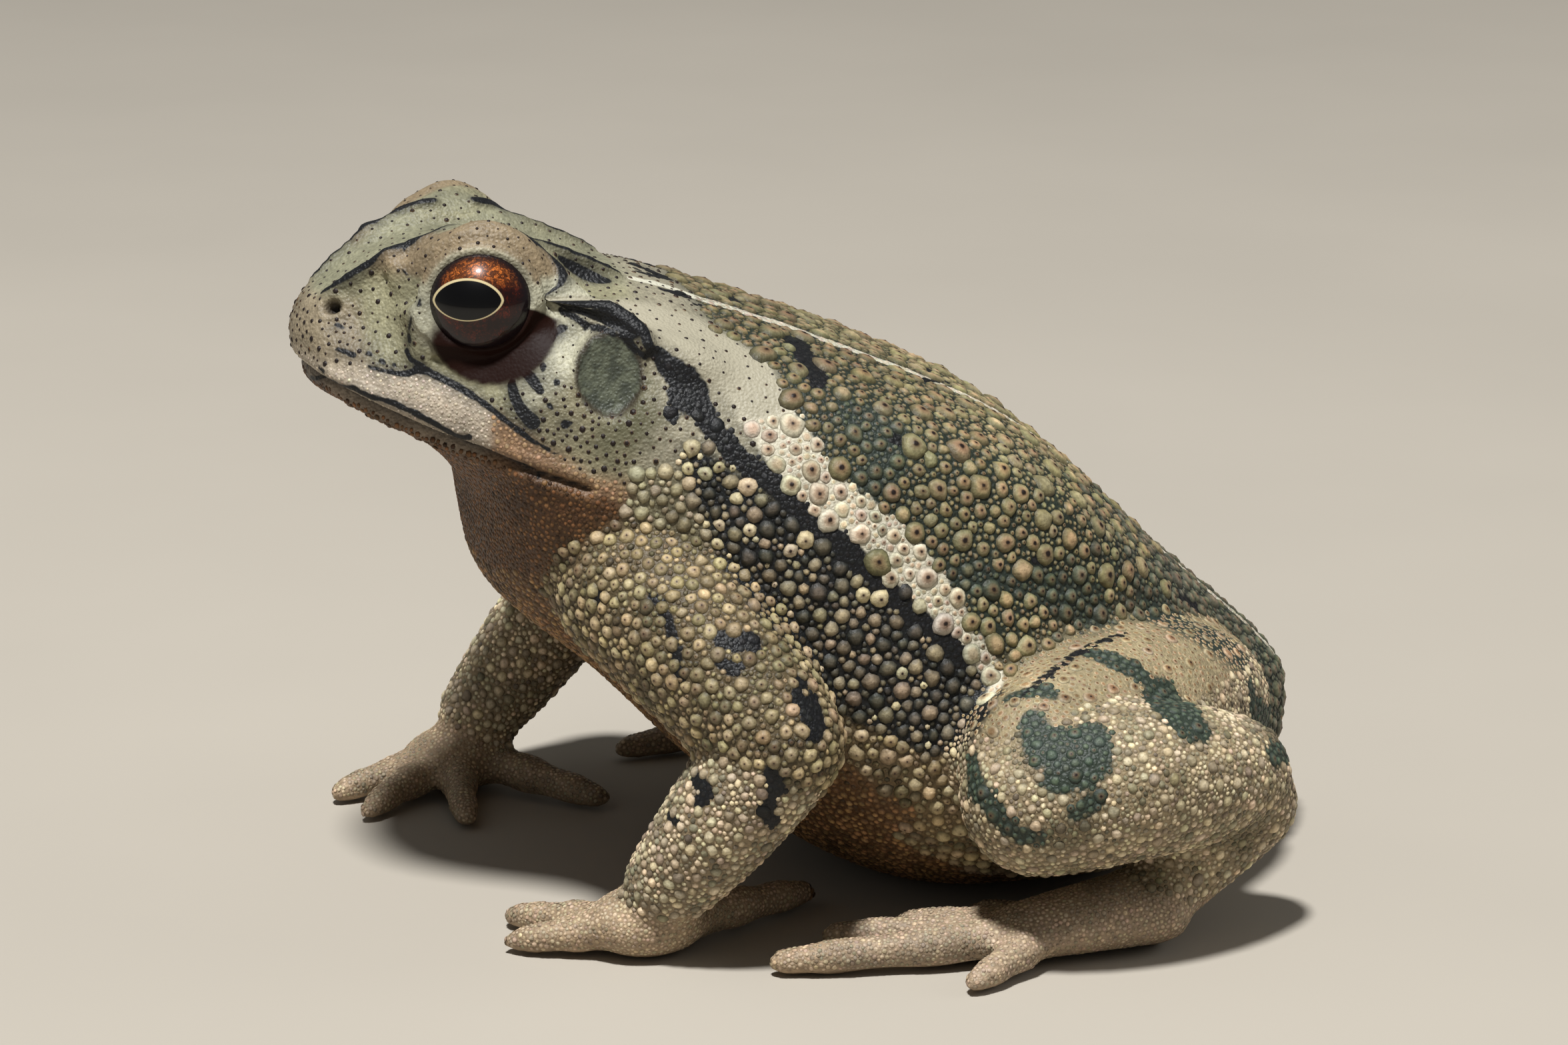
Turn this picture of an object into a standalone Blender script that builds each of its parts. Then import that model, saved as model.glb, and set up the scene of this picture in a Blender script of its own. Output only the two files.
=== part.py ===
"""Life-size still model of a sitting Gulf Coast toad, as closed solids.

The animal faces -Y, its left side is +X and it rests on the plane Z = 0. Every size below is
in millimetres, and each mesh is turned into metres when its object is made. The shift at the
end puts the middle of the whole toad's box over the origin.
"""

import math
from random import Random

import bmesh
import bpy
import numpy as np
from mathutils import Matrix, Vector
from mathutils.bvhtree import BVHTree

MM = 0.001
GAP = 0.3
CLEARANCE = GAP * 1.05
SLIVER = 0.005
FLOOR_BLOCK = (160.0, 160.0, 20.0)
SIDES = ("left", "right")

# Head and trunk: one loft through stations from the snout to the vent. A station has the
# (y, z) of its top and bottom on the midline, then its half widths at HEIGHTS of the way up.
HEIGHTS = (0.06, 0.25, 0.50, 0.75, 0.94)
STATIONS = (
    ((-44.1, 48.2), (-44.0, 45.2), (1.2, 2.0, 2.3, 2.0, 1.2)),
    ((-43.5, 49.7), (-43.4, 43.6), (2.6, 4.4, 4.6, 3.8, 2.2)),
    ((-42.0, 50.3), (-42.3, 42.4), (3.8, 6.6, 6.3, 4.8, 3.0)),
    ((-39.4, 51.8), (-40.2, 41.0), (4.6, 8.8, 8.0, 5.8, 3.8)),
    ((-35.6, 53.7), (-36.8, 39.2), (5.6, 11.2, 9.9, 7.2, 4.6)),
    ((-30.6, 54.5), (-33.0, 36.6), (7.2, 13.6, 12.4, 9.4, 5.0)),
    ((-26.0, 53.8), (-30.9, 33.6), (8.0, 15.2, 15.0, 12.2, 6.4)),
    ((-21.5, 51.9), (-30.4, 30.2), (8.6, 15.6, 16.6, 14.8, 8.2)),
    ((-16.3, 50.4), (-29.6, 26.5), (9.0, 16.2, 18.0, 17.0, 11.0)),
    ((-9.7, 47.8), (-26.6, 23.0), (9.4, 17.0, 19.6, 19.0, 13.6)),
    ((-2.6, 45.0), (-20.8, 18.0), (10.0, 19.2, 22.2, 21.0, 16.0)),
    ((5.4, 41.5), (-12.6, 9.6), (11.5, 22.0, 24.0, 22.0, 17.6)),
    ((12.8, 37.7), (-5.0, 3.4), (13.5, 24.0, 24.8, 21.6, 17.2)),
    ((19.4, 32.5), (3.5, -0.4), (14.0, 24.0, 24.0, 19.6, 15.2)),
    ((25.1, 27.0), (13.0, -0.8), (13.5, 22.0, 21.6, 16.8, 11.6)),
    ((30.2, 22.5), (22.0, -0.4), (11.5, 18.4, 17.8, 13.4, 7.6)),
    ((34.8, 18.4), (29.5, 2.2), (8.0, 13.6, 13.2, 9.8, 5.6)),
    ((37.5, 15.6), (35.0, 6.0), (4.6, 8.0, 7.8, 6.0, 3.6)),
    ((38.8, 13.2), (38.0, 9.6), (1.2, 2.2, 2.2, 1.8, 1.1)),
)
TRUNK_SIDES = 32
TRUNK_RINGS = 32
END_BULGE = 0.5

# Thin cuts, as (y, z) lines seen from the side: between head and torso, and along the mouth.
NECK_LINE = ((-15.4, 58.0), (-18.6, 50.0), (-20.2, 42.0), (-21.6, 35.0), (-25.5, 30.0), (-36.0, 26.5))
CUT_HALF_WIDTH = 30.0
MOUTH_LINE = (
    (-48.0, 45.9),
    (-43.4, 44.2),
    (-39.3, 42.4),
    (-34.7, 40.4),
    (-28.0, 38.2),
    (-24.0, 37.0),
    (-16.0, 35.4),
)

# Left eye: its ball, the opening between the lids, the way it looks and the bulge of the lids.
EYE = (9.0, -30.5, 50.4)
EYE_RADIUS = 4.6
EYE_OPENING = (3.9, 3.6)
GAZE = (0.94, -0.25, 0.20)
LID = ((8.6, -30.8, 50.8), (5.7, 6.1, 6.0))

EARDRUM = (15.4, -22.3, 45.6)
EARDRUM_FACING = (0.96, -0.12, 0.22)
EARDRUM_HALF = (2.7, 3.2)
EARDRUM_DEPTH = 0.9
EARDRUM_POCKET = 3.2
NOSTRIL = ((3.5, -42.0, 50.3), (0.55, 0.55, 0.9))

# Ridges of the head on its left side, as points along the ridge and its half thickness.
RIDGES = (
    (((2.6, -42.2, 48.7), (3.5, -39.4, 51.2), (4.4, -36.6, 53.0), (4.8, -33.4, 53.9)), 1.0),
    (((4.8, -34.4, 53.8), (5.0, -30.8, 54.2), (5.3, -27.6, 53.7), (6.6, -25.2, 52.3)), 1.15),
    (((5.4, -26.4, 53.4), (8.0, -24.6, 51.9), (10.6, -23.4, 50.4), (12.4, -23.4, 48.6)), 1.1),
    (((5.0, -27.0, 53.7), (5.0, -23.6, 52.5), (4.8, -19.8, 50.6)), 1.0),
    (((10.4, -23.6, 50.4), (12.6, -21.4, 49.6), (14.6, -18.8, 47.4)), 1.35),
    (((5.0, -36.8, 53.4), (7.6, -36.6, 50.6), (10.2, -35.4, 46.0)), 0.85),
)
UPPER_LIP = (
    ((5.6, -42.2, 44.8), (8.7, -39.4, 43.6), (11.4, -35.0, 41.8), (13.8, -29.6, 39.8), (15.0, -25.2, 38.5)),
    0.8,
)
LOWER_LIP = (
    ((4.9, -42.0, 43.4), (8.0, -39.4, 42.0), (10.7, -35.0, 40.0), (13.2, -29.6, 37.9), (14.6, -25.6, 36.7)),
    0.6,
)
PAROTOID = ((13.2, -14.6, 44.8), (3.8, 6.0, 2.6))
PAROTOID_SLOPE = -28.0

# Limbs of the left side: points along each length and the half thickness at each point.
THIGH = (((10.5, 26.5, 13.6), (19.5, 18.0, 15.4), (27.4, 9.6, 15.4)), (7.6, 8.0, 6.8))
SHANK = (((30.2, 8.8, 13.6), (30.4, 16.4, 14.4), (26.6, 25.4, 12.8)), (6.4, 6.3, 5.0))
TARSUS = (((25.8, 27.0, 10.4), (26.8, 22.2, 6.4), (28.2, 18.4, 3.6)), (4.3, 3.7, 3.2))
FOOT = (((28.2, 18.6, 3.3), (29.2, 12.5, 2.9), (29.6, 7.4, 2.4)), (3.1, 2.7, 2.3))
FOOT_WIDEN = 1.35
TOES = (
    (((27.6, 12.6, 2.2), (23.4, 9.4, 1.6), (20.6, 6.4, 1.0)), (1.5, 1.2, 1.0)),
    (((28.2, 10.0, 2.2), (24.2, 4.6, 1.6), (21.4, 0.4, 1.0)), (1.6, 1.3, 1.0)),
    (((28.8, 8.4, 2.2), (26.0, 0.8, 1.7), (23.4, -6.0, 1.1)), (1.7, 1.4, 1.1)),
    (((29.8, 8.0, 2.2), (29.6, -2.0, 1.8), (28.4, -11.4, 1.1)), (1.8, 1.5, 1.1)),
    (((30.4, 9.0, 2.2), (33.4, 5.6, 1.7), (36.0, 2.0, 1.0)), (1.7, 1.4, 1.0)),
)
HEEL_KNOB = ((28.4, 18.4, 1.3), (1.6, 2.2, 1.5))

ARMS = {
    "left": {
        "upper_arm": (((14.0, -19.0, 28.6), (21.0, -15.0, 23.6), (26.0, -11.0, 18.2)), (7.4, 6.4, 5.2)),
        "forearm": (((25.8, -11.6, 17.0), (24.6, -15.4, 11.6), (22.4, -19.0, 6.2)), (5.0, 4.6, 3.6)),
        "palm": ((20.8, -20.4, 2.7), (3.8, 5.0, 2.9)),
        "fingers": (
            (((20.4, -17.4, 2.4), (16.6, -11.2, 1.9), (12.8, -5.8, 1.1)), (1.8, 1.5, 1.1)),
            (((19.6, -20.4, 2.2), (14.4, -20.2, 1.7), (9.4, -19.4, 1.0)), (1.8, 1.4, 1.0)),
            (((19.6, -22.2, 2.2), (16.0, -26.2, 1.7), (12.4, -29.4, 1.0)), (1.8, 1.4, 1.0)),
            (((20.6, -22.4, 2.2), (19.8, -26.8, 1.7), (18.2, -30.4, 1.0)), (1.8, 1.4, 1.0)),
        ),
    },
    "right": {
        "upper_arm": (((-14.0, -19.0, 28.6), (-21.0, -17.4, 23.6), (-25.4, -15.6, 18.4)), (7.4, 6.2, 5.1)),
        "forearm": (((-25.4, -16.2, 17.2), (-25.2, -20.6, 11.8), (-25.0, -25.0, 6.4)), (4.9, 4.5, 3.6)),
        "palm": ((-24.4, -27.0, 2.7), (3.8, 5.0, 2.9)),
        "fingers": (
            (((-23.6, -24.4, 2.4), (-19.0, -20.6, 1.9), (-15.4, -16.6, 1.1)), (1.8, 1.5, 1.1)),
            (((-23.2, -27.0, 2.2), (-18.0, -28.0, 1.7), (-13.0, -28.4, 1.0)), (1.8, 1.4, 1.0)),
            (((-23.4, -29.0, 2.2), (-20.0, -33.0, 1.7), (-17.0, -36.0, 1.0)), (1.8, 1.4, 1.0)),
            (((-24.4, -29.2, 2.2), (-23.6, -33.8, 1.7), (-22.2, -37.8, 1.0)), (1.8, 1.4, 1.0)),
        ),
    },
}

# Warts: half width and height of each size, rows on the left side with how many of which size,
# how many of each size are scattered over a form, and how low they may lie.
WART_SIZES = {"small": (0.85, 0.65), "middle": (1.15, 0.8), "large": (1.55, 1.0)}
WART_JITTER = 0.15
WART_SINK = 0.1
WART_SPACE = 0.8
WART_ON_SKIN = 0.15
WART_TRIES = 60
WART_SEED = 11
STRIPE_ROW = (
    (11.2, -9.6, 46.4),
    (16.6, -8.0, 43.4),
    (20.4, -5.6, 38.6),
    (22.4, -1.0, 33.4),
    (23.2, 5.2, 27.6),
)
INNER_ROW = ((6.6, -6.6, 46.2), (7.4, 3.0, 41.6), (7.8, 12.0, 36.0), (7.2, 20.0, 30.0), (5.6, 28.6, 22.6))
OUTER_ROW = (
    (13.2, -5.2, 44.2),
    (15.4, 3.0, 39.2),
    (15.6, 11.0, 33.8),
    (14.0, 19.0, 27.4),
    (10.6, 27.6, 20.0),
)
WART_ROWS = ((STRIPE_ROW, 9, "middle"), (INNER_ROW, 8, "large"), (OUTER_ROW, 8, "large"))
SCATTERED = {
    "torso": (("middle", 14), ("small", 14)),
    "upper_arm": (("middle", 3), ("small", 3)),
    "forearm": (("small", 3),),
    "thigh": (("middle", 3), ("small", 3)),
    "shank": (("middle", 5), ("small", 4)),
}
LOWEST_WART = 12.0

# How finely the round forms are faceted.
LIMB_SIDES, LIMB_RINGS = 12, 6
DIGIT_SIDES, DIGIT_RINGS = 6, 3
RIDGE_SIDES, RIDGE_RINGS = 6, 4
EYE_SIDES, EYE_RINGS = 16, 8
DISC_SIDES = 16
LID_SIDES, BLOB_SIDES, KNOB_SIDES = 16, 14, 8
CAP_ANGLE = math.radians(48)
STEEP = 0.6
SHARP_ANGLE = math.radians(40)

EYE_ROUGHNESS, SKIN_ROUGHNESS = 0.2, 0.6
COLOURS = {
    "head": (0.47, 0.44, 0.33),
    "lower_jaw": (0.66, 0.53, 0.38),
    "torso": (0.36, 0.34, 0.25),
    "eye": (0.45, 0.20, 0.07),
    "eardrum": (0.30, 0.31, 0.28),
    "limb": (0.58, 0.50, 0.37),
}


def clear_scene():
    for thing in list(bpy.data.objects):
        bpy.data.objects.remove(thing, do_unlink=True)


def material(name, colour, roughness):
    made = bpy.data.materials.new(name)
    made.use_nodes = True
    shader = made.node_tree.nodes["Principled BSDF"]
    shader.inputs["Base Color"].default_value = (*colour, 1.0)
    shader.inputs["Roughness"].default_value = roughness
    shader.inputs["Metallic"].default_value = 0.0
    return made


def through(points, count):
    """Rows spaced evenly along a smooth line through the given rows of numbers."""
    rows = np.asarray(points, float)
    steps = np.linalg.norm(np.diff(rows[:, :3], axis=0), axis=1)
    at = np.concatenate([[0.0], np.cumsum(steps)])
    slopes = np.empty_like(rows)
    slopes[1:-1] = (rows[2:] - rows[:-2]) / (at[2:] - at[:-2])[:, None]
    slopes[0] = 2 * (rows[1] - rows[0]) / steps[0] - slopes[1]
    slopes[-1] = 2 * (rows[-1] - rows[-2]) / steps[-1] - slopes[-2]
    where = np.linspace(0.0, at[-1], count)
    low = np.clip(np.searchsorted(at, where, side="right") - 1, 0, len(steps) - 1)
    span = steps[low][:, None]
    part = ((where - at[low]) / steps[low])[:, None]
    start = (1 + 2 * part) * (1 - part) ** 2 * rows[low]
    finish = part**2 * (3 - 2 * part) * rows[low + 1]
    lean = part * (1 - part) ** 2 * slopes[low] - part**2 * (1 - part) * slopes[low + 1]
    return start + finish + span * lean


def object_from(name, bm):
    """A mesh object in metres from a closed bmesh in millimetres, its faces turned outward."""
    bmesh.ops.triangulate(bm, faces=bm.faces)
    bmesh.ops.recalc_face_normals(bm, faces=bm.faces)
    if bm.calc_volume(signed=True) < 0:
        bmesh.ops.reverse_faces(bm, faces=bm.faces)
    bmesh.ops.scale(bm, vec=(MM, MM, MM), verts=bm.verts)
    mesh = bpy.data.meshes.new(name)
    bm.to_mesh(mesh)
    bm.free()
    made = bpy.data.objects.new(name, mesh)
    bpy.context.scene.collection.objects.link(made)
    return made


def rounded(name, rings, ends):
    """A closed shape from a sphere whose rings of points are moved onto the given rings."""
    count, sides = len(rings), len(rings[0])
    bm = bmesh.new()
    bmesh.ops.create_uvsphere(bm, u_segments=sides, v_segments=count + 1, radius=1.0)
    for vert in bm.verts:
        ring = round(math.acos(max(-1.0, min(1.0, vert.co.z))) / math.pi * (count + 1))
        if ring in (0, count + 1):
            vert.co = Vector(ends[0] if ring == 0 else ends[1])
            continue
        side = round(math.atan2(vert.co.y, vert.co.x) / (2 * math.pi) * sides) % sides
        vert.co = Vector(rings[ring - 1][side])
    return object_from(name, bm)


def tube(name, points, radii, sides=LIMB_SIDES, rings=LIMB_RINGS, widen=1.0, grow=0.0):
    """A tapered limb along a smooth line, with round ends. widen makes it broad and flat."""
    line = through(np.column_stack([points, radii]), rings)
    centres, sizes = line[:, :3], line[:, 3] + grow
    along = np.gradient(centres, axis=0)
    along /= np.linalg.norm(along, axis=1)[:, None]
    up = np.array([0.0, 0.0, 1.0]) if abs(along[0, 2]) < STEEP else np.array([1.0, 0.0, 0.0])
    angles = np.arange(sides) * 2 * math.pi / sides

    def ring(centre, direction, size):
        across = np.cross(up, direction)
        across /= np.linalg.norm(across)
        rise = np.cross(direction, across)
        flat = np.outer(np.cos(angles) * widen, across) + np.outer(np.sin(angles), rise)
        return centre + size * flat

    reach, narrow = math.sin(CAP_ANGLE), math.cos(CAP_ANGLE)
    made = [ring(centres[0] - along[0] * sizes[0] * reach, along[0], sizes[0] * narrow)]
    made += [ring(*station) for station in zip(centres, along, sizes)]
    made.append(ring(centres[-1] + along[-1] * sizes[-1] * reach, along[-1], sizes[-1] * narrow))
    ends = (centres[0] - along[0] * sizes[0], centres[-1] + along[-1] * sizes[-1])
    return rounded(name, made, ends)


def blob(name, centre, half, turn=None, segments=BLOB_SIDES):
    """An ellipsoid."""
    bm = bmesh.new()
    bmesh.ops.create_uvsphere(bm, u_segments=segments, v_segments=segments // 2, radius=1.0)
    bmesh.ops.scale(bm, vec=half, verts=bm.verts)
    if turn is not None:
        bmesh.ops.rotate(bm, matrix=turn, verts=bm.verts)
    bmesh.ops.translate(bm, vec=centre, verts=bm.verts)
    return object_from(name, bm)


def disc(name, centre, facing, half, depth):
    """A short oval cylinder whose axis points along facing."""
    turn = Vector(facing).to_track_quat("Z", "Y").to_matrix()
    bm = bmesh.new()
    bmesh.ops.create_cone(bm, cap_ends=True, segments=DISC_SIDES, radius1=1.0, radius2=1.0, depth=depth)
    bmesh.ops.scale(bm, vec=(half[0], half[1], 1.0), verts=bm.verts)
    bmesh.ops.rotate(bm, matrix=turn, verts=bm.verts)
    bmesh.ops.translate(bm, vec=centre, verts=bm.verts)
    return object_from(name, bm)


def slab(name, line):
    """A thin wall, as thick as the gap, that runs along X over a line given as (y, z) points."""
    points = np.asarray(line, float)
    along = np.gradient(points, axis=0)
    along /= np.linalg.norm(along, axis=1)[:, None]
    normal = np.column_stack([-along[:, 1], along[:, 0]])
    outline = np.concatenate([points + normal * GAP / 2, (points - normal * GAP / 2)[::-1]])
    bm = bmesh.new()
    verts = [bm.verts.new((-CUT_HALF_WIDTH, y, z)) for y, z in outline]
    face = bm.faces.new(verts)
    grown = bmesh.ops.extrude_face_region(bm, geom=[face])
    moved = [item for item in grown["geom"] if isinstance(item, bmesh.types.BMVert)]
    bmesh.ops.translate(bm, vec=(2 * CUT_HALF_WIDTH, 0.0, 0.0), verts=moved)
    return object_from(name, bm)


def floor_block():
    bm = bmesh.new()
    bmesh.ops.create_cube(bm, size=1.0)
    bmesh.ops.scale(bm, vec=FLOOR_BLOCK, verts=bm.verts)
    bmesh.ops.translate(bm, vec=(0.0, 0.0, -FLOOR_BLOCK[2] / 2), verts=bm.verts)
    return object_from("floor_block", bm)


def grown_trunk():
    """The plain trunk with the gap added all round, for cutting the limbs clear of it."""
    made = trunk()
    bm = bmesh.new()
    bm.from_mesh(made.data)
    bm.normal_update()
    places = [vert.co + vert.normal * CLEARANCE * MM for vert in bm.verts]
    for vert, place in zip(bm.verts, places):
        vert.co = place
    bm.to_mesh(made.data)
    bm.free()
    return made


def boolean(target, operation, others):
    """Applies one Boolean of the target with all the others, removes them and closes slivers."""
    group = bpy.data.collections.new("operands")
    bpy.context.scene.collection.children.link(group)
    for other in others:
        group.objects.link(other)
    step = target.modifiers.new(operation.lower(), "BOOLEAN")
    step.operation = operation
    step.operand_type = "COLLECTION"
    step.collection = group
    step.solver = "EXACT"
    bpy.context.view_layer.update()
    graph = bpy.context.evaluated_depsgraph_get()
    result = bpy.data.meshes.new_from_object(target.evaluated_get(graph))
    target.modifiers.clear()
    bm = bmesh.new()
    bm.from_mesh(result)
    bmesh.ops.remove_doubles(bm, dist=SLIVER * MM, verts=bm.verts)
    bm.to_mesh(result)
    bm.free()
    target.data = result
    for other in others:
        bpy.data.objects.remove(other, do_unlink=True)
    bpy.data.collections.remove(group)


def islands(bm):
    """The separate closed surfaces of a bmesh, as lists of faces, largest first."""
    left = set(bm.faces)
    found = []
    while left:
        todo = [left.pop()]
        piece = []
        while todo:
            face = todo.pop()
            piece.append(face)
            for edge in face.edges:
                for near in edge.link_faces:
                    if near in left:
                        left.remove(near)
                        todo.append(near)
        found.append(piece)
    return sorted(found, key=lambda faces: -sum(face.calc_area() for face in faces))


def keep_largest(target):
    bm = bmesh.new()
    bm.from_mesh(target.data)
    scraps = [face for piece in islands(bm)[1:] for face in piece]
    bmesh.ops.delete(bm, geom=scraps, context="FACES")
    bm.to_mesh(target.data)
    bm.free()


def split_off(target, names, order):
    """Parts a solid that a thin cut has divided. order gives each piece's place by its middle."""
    bm = bmesh.new()
    bm.from_mesh(target.data)

    def place(faces):
        return order(sum((face.calc_center_median() for face in faces), Vector()) / len(faces))

    pieces = sorted(islands(bm)[: len(names)], key=place)
    bm.faces.index_update()
    groups = [{face.index for face in piece} for piece in pieces]
    bm.free()
    made = []
    for name, group in zip(names, groups):
        bm = bmesh.new()
        bm.from_mesh(target.data)
        bm.faces.ensure_lookup_table()
        rest = [face for face in bm.faces if face.index not in group]
        bmesh.ops.delete(bm, geom=rest, context="FACES")
        mesh = bpy.data.meshes.new(name)
        bm.to_mesh(mesh)
        bm.free()
        piece = bpy.data.objects.new(name, mesh)
        bpy.context.scene.collection.objects.link(piece)
        made.append(piece)
    bpy.data.objects.remove(target, do_unlink=True)
    return made


def mirror_point(point, side):
    x, y, z = point
    return (x if side == "left" else -x, y, z)


def mirror_limb(limb, side):
    points, radii = limb
    return tuple(mirror_point(point, side) for point in points), radii


def section(top, bottom, widths, sides):
    """One ring of the trunk: a smooth outline through its half widths, the same on both sides."""
    height = math.dist(top, bottom)
    levels = np.concatenate([[0.0], HEIGHTS, [1.0]]) * height
    half = np.concatenate([[0.0], widths, [0.0]])
    outline = through(np.column_stack([half, levels, np.zeros(len(half))]), sides // 2 + 1)
    across, up = outline[:, 0], outline[:, 1] / height
    across[[0, -1]] = 0.0
    ring = []
    for index in range(sides):
        near = index if index <= sides // 2 else sides - index
        sign = 1.0 if index <= sides // 2 else -1.0
        y = bottom[0] + (top[0] - bottom[0]) * up[near]
        z = bottom[1] + (top[1] - bottom[1]) * up[near]
        ring.append((sign * across[near], y, z))
    return ring


def trunk():
    rows = []
    for top, bottom, widths in STATIONS:
        middle = ((top[0] + bottom[0]) / 2, (top[1] + bottom[1]) / 2, 0.0)
        rows.append((*middle, *top, *bottom, *widths))
    rows = through(rows, TRUNK_RINGS)
    rings = [section(row[3:5], row[5:7], row[7:12], TRUNK_SIDES) for row in rows]
    snout, vent = (np.mean(ring, axis=0) for ring in (rings[0], rings[-1]))
    snout[1] -= END_BULGE
    vent[1] += END_BULGE
    return rounded("trunk", rings, (snout, vent))


def eye_sphere(name, side, radius):
    bm = bmesh.new()
    bmesh.ops.create_uvsphere(bm, u_segments=EYE_SIDES, v_segments=EYE_RINGS, radius=radius)
    turn = Vector(mirror_point(GAZE, side)).to_track_quat("Z", "Y").to_matrix()
    bmesh.ops.rotate(bm, matrix=turn, verts=bm.verts)
    bmesh.ops.translate(bm, vec=mirror_point(EYE, side), verts=bm.verts)
    return object_from(name, bm)


def ridge(points, thick, side):
    path = [mirror_point(point, side) for point in points]
    return tube("ridge", path, (thick,) * len(path), RIDGE_SIDES, RIDGE_RINGS)


def raised_forms(side):
    """What stands out of the head and neck: lids, ridges, lips and the gland behind the ear."""
    forms = [blob("lid", mirror_point(LID[0], side), LID[1], segments=LID_SIDES)]
    forms += [ridge(points, thick, side) for points, thick in (*RIDGES, UPPER_LIP, LOWER_LIP)]
    slope = Matrix.Rotation(math.radians(PAROTOID_SLOPE), 3, "X")
    forms.append(blob("gland", mirror_point(PAROTOID[0], side), PAROTOID[1], slope))
    return forms


def sunk_forms(side):
    """What is sunk in the head: eye sockets, the openings between the lids, ears and nostrils."""
    gaze = Vector(mirror_point(GAZE, side)).normalized()
    eye = Vector(mirror_point(EYE, side))
    socket = eye_sphere("socket", side, EYE_RADIUS + GAP)
    opening = disc("opening", eye + gaze * EYE_RADIUS, gaze, EYE_OPENING, EYE_RADIUS * 2)
    facing = Vector(mirror_point(EARDRUM_FACING, side)).normalized()
    ear = Vector(mirror_point(EARDRUM, side))
    half = tuple(size + GAP for size in EARDRUM_HALF)
    depth = EARDRUM_DEPTH + 2 * GAP + EARDRUM_POCKET
    pocket = disc("pocket", ear + facing * EARDRUM_POCKET / 2, facing, half, depth)
    nostril = blob("nostril", mirror_point(NOSTRIL[0], side), NOSTRIL[1], segments=KNOB_SIDES)
    return [socket, opening, pocket, nostril]


def head_and_torso():
    body = trunk()
    boolean(body, "UNION", [form for side in SIDES for form in raised_forms(side)])
    keep_largest(body)
    boolean(body, "DIFFERENCE", [form for side in SIDES for form in sunk_forms(side)] + [floor_block()])
    boolean(body, "DIFFERENCE", [slab("neck_cut", NECK_LINE)])
    front, torso = split_off(body, ("front", "torso"), lambda middle: middle.y)
    boolean(front, "DIFFERENCE", [slab("mouth_cut", MOUTH_LINE)])
    jaw, head = split_off(front, ("lower_jaw", "head"), lambda middle: middle.z)
    return head, jaw, torso


def paw(name, base, digits):
    """A hand or foot: its base with all its digits fused to it, flat underneath."""
    tubes = [tube("digit", *digit, DIGIT_SIDES, DIGIT_RINGS) for digit in digits]
    boolean(base, "UNION", tubes)
    base.name = name
    return base


def trim(piece, limbs, floor=True):
    """Cuts a piece clear of the trunk, of the limbs it grows from or lies against, and of the floor."""
    cutters = [grown_trunk()]
    cutters += [tube("clearance", *limb, grow=CLEARANCE) for limb in limbs]
    if floor:
        cutters.append(floor_block())
    for cutter in cutters:
        boolean(piece, "DIFFERENCE", [cutter])
    keep_largest(piece)
    return piece


def hind_leg(side):
    thigh_line, shank_line, tarsus_line = (mirror_limb(limb, side) for limb in (THIGH, SHANK, TARSUS))
    thigh = tube(side + "_thigh", *thigh_line)
    trim(thigh, [], floor=False)
    shank = tube(side + "_shank", *shank_line)
    trim(shank, [thigh_line], floor=False)
    tarsus = tube(side + "_tarsus", *tarsus_line)
    trim(tarsus, [shank_line, thigh_line])
    base = tube("base", *mirror_limb(FOOT, side), widen=FOOT_WIDEN)
    knob = blob("knob", mirror_point(HEEL_KNOB[0], side), HEEL_KNOB[1], segments=KNOB_SIDES)
    boolean(base, "UNION", [knob])
    foot = paw(side + "_foot", base, [mirror_limb(toe, side) for toe in TOES])
    trim(foot, [tarsus_line])
    return [thigh, shank, tarsus, foot]


def arm(side):
    sizes = ARMS[side]
    upper = tube(side + "_upper_arm", *sizes["upper_arm"])
    trim(upper, [], floor=False)
    forearm = tube(side + "_forearm", *sizes["forearm"])
    trim(forearm, [sizes["upper_arm"]], floor=False)
    base = blob("palm", *sizes["palm"])
    hand = paw(side + "_hand", base, sizes["fingers"])
    trim(hand, [sizes["forearm"]])
    return [upper, forearm, hand]


def wart(place, outward, size, random):
    """One dome whose axis points outward, turned by chance about it."""
    half, height = (value * MM * (1 + WART_JITTER * random.uniform(-1, 1)) for value in WART_SIZES[size])
    bm = bmesh.new()
    bmesh.ops.create_icosphere(bm, subdivisions=1, radius=1.0)
    bmesh.ops.scale(bm, vec=(half, half, height), verts=bm.verts)
    turn = outward.to_track_quat("Z", "Y").to_matrix() @ Matrix.Rotation(random.uniform(0, math.pi), 3, "Z")
    bmesh.ops.rotate(bm, matrix=turn, verts=bm.verts)
    bmesh.ops.translate(bm, vec=place - outward * height * WART_SINK, verts=bm.verts)
    bmesh.ops.scale(bm, vec=(1 / MM,) * 3, verts=bm.verts)
    return object_from("wart", bm)


def tree_of(pieces):
    """A search tree over the faces of the pieces."""
    points, faces = [], []
    for piece in pieces:
        first = len(points)
        points += [vert.co.copy() for vert in piece.data.vertices]
        faces += [[first + index for index in face.vertices] for face in piece.data.polygons]
    return BVHTree.FromPolygons(points, faces)


def chance_points(host, random, count):
    """Points spread by chance over the faces of a plain form."""
    faces = sorted(host.data.polygons, key=lambda face: sorted(face.vertices))
    found = []
    for face in random.choices(faces, weights=[face.area for face in faces], k=count):
        corner = host.data.vertices[random.choice(sorted(face.vertices))].co
        found.append(face.center.lerp(corner, math.sqrt(random.random())))
    return found


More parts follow.
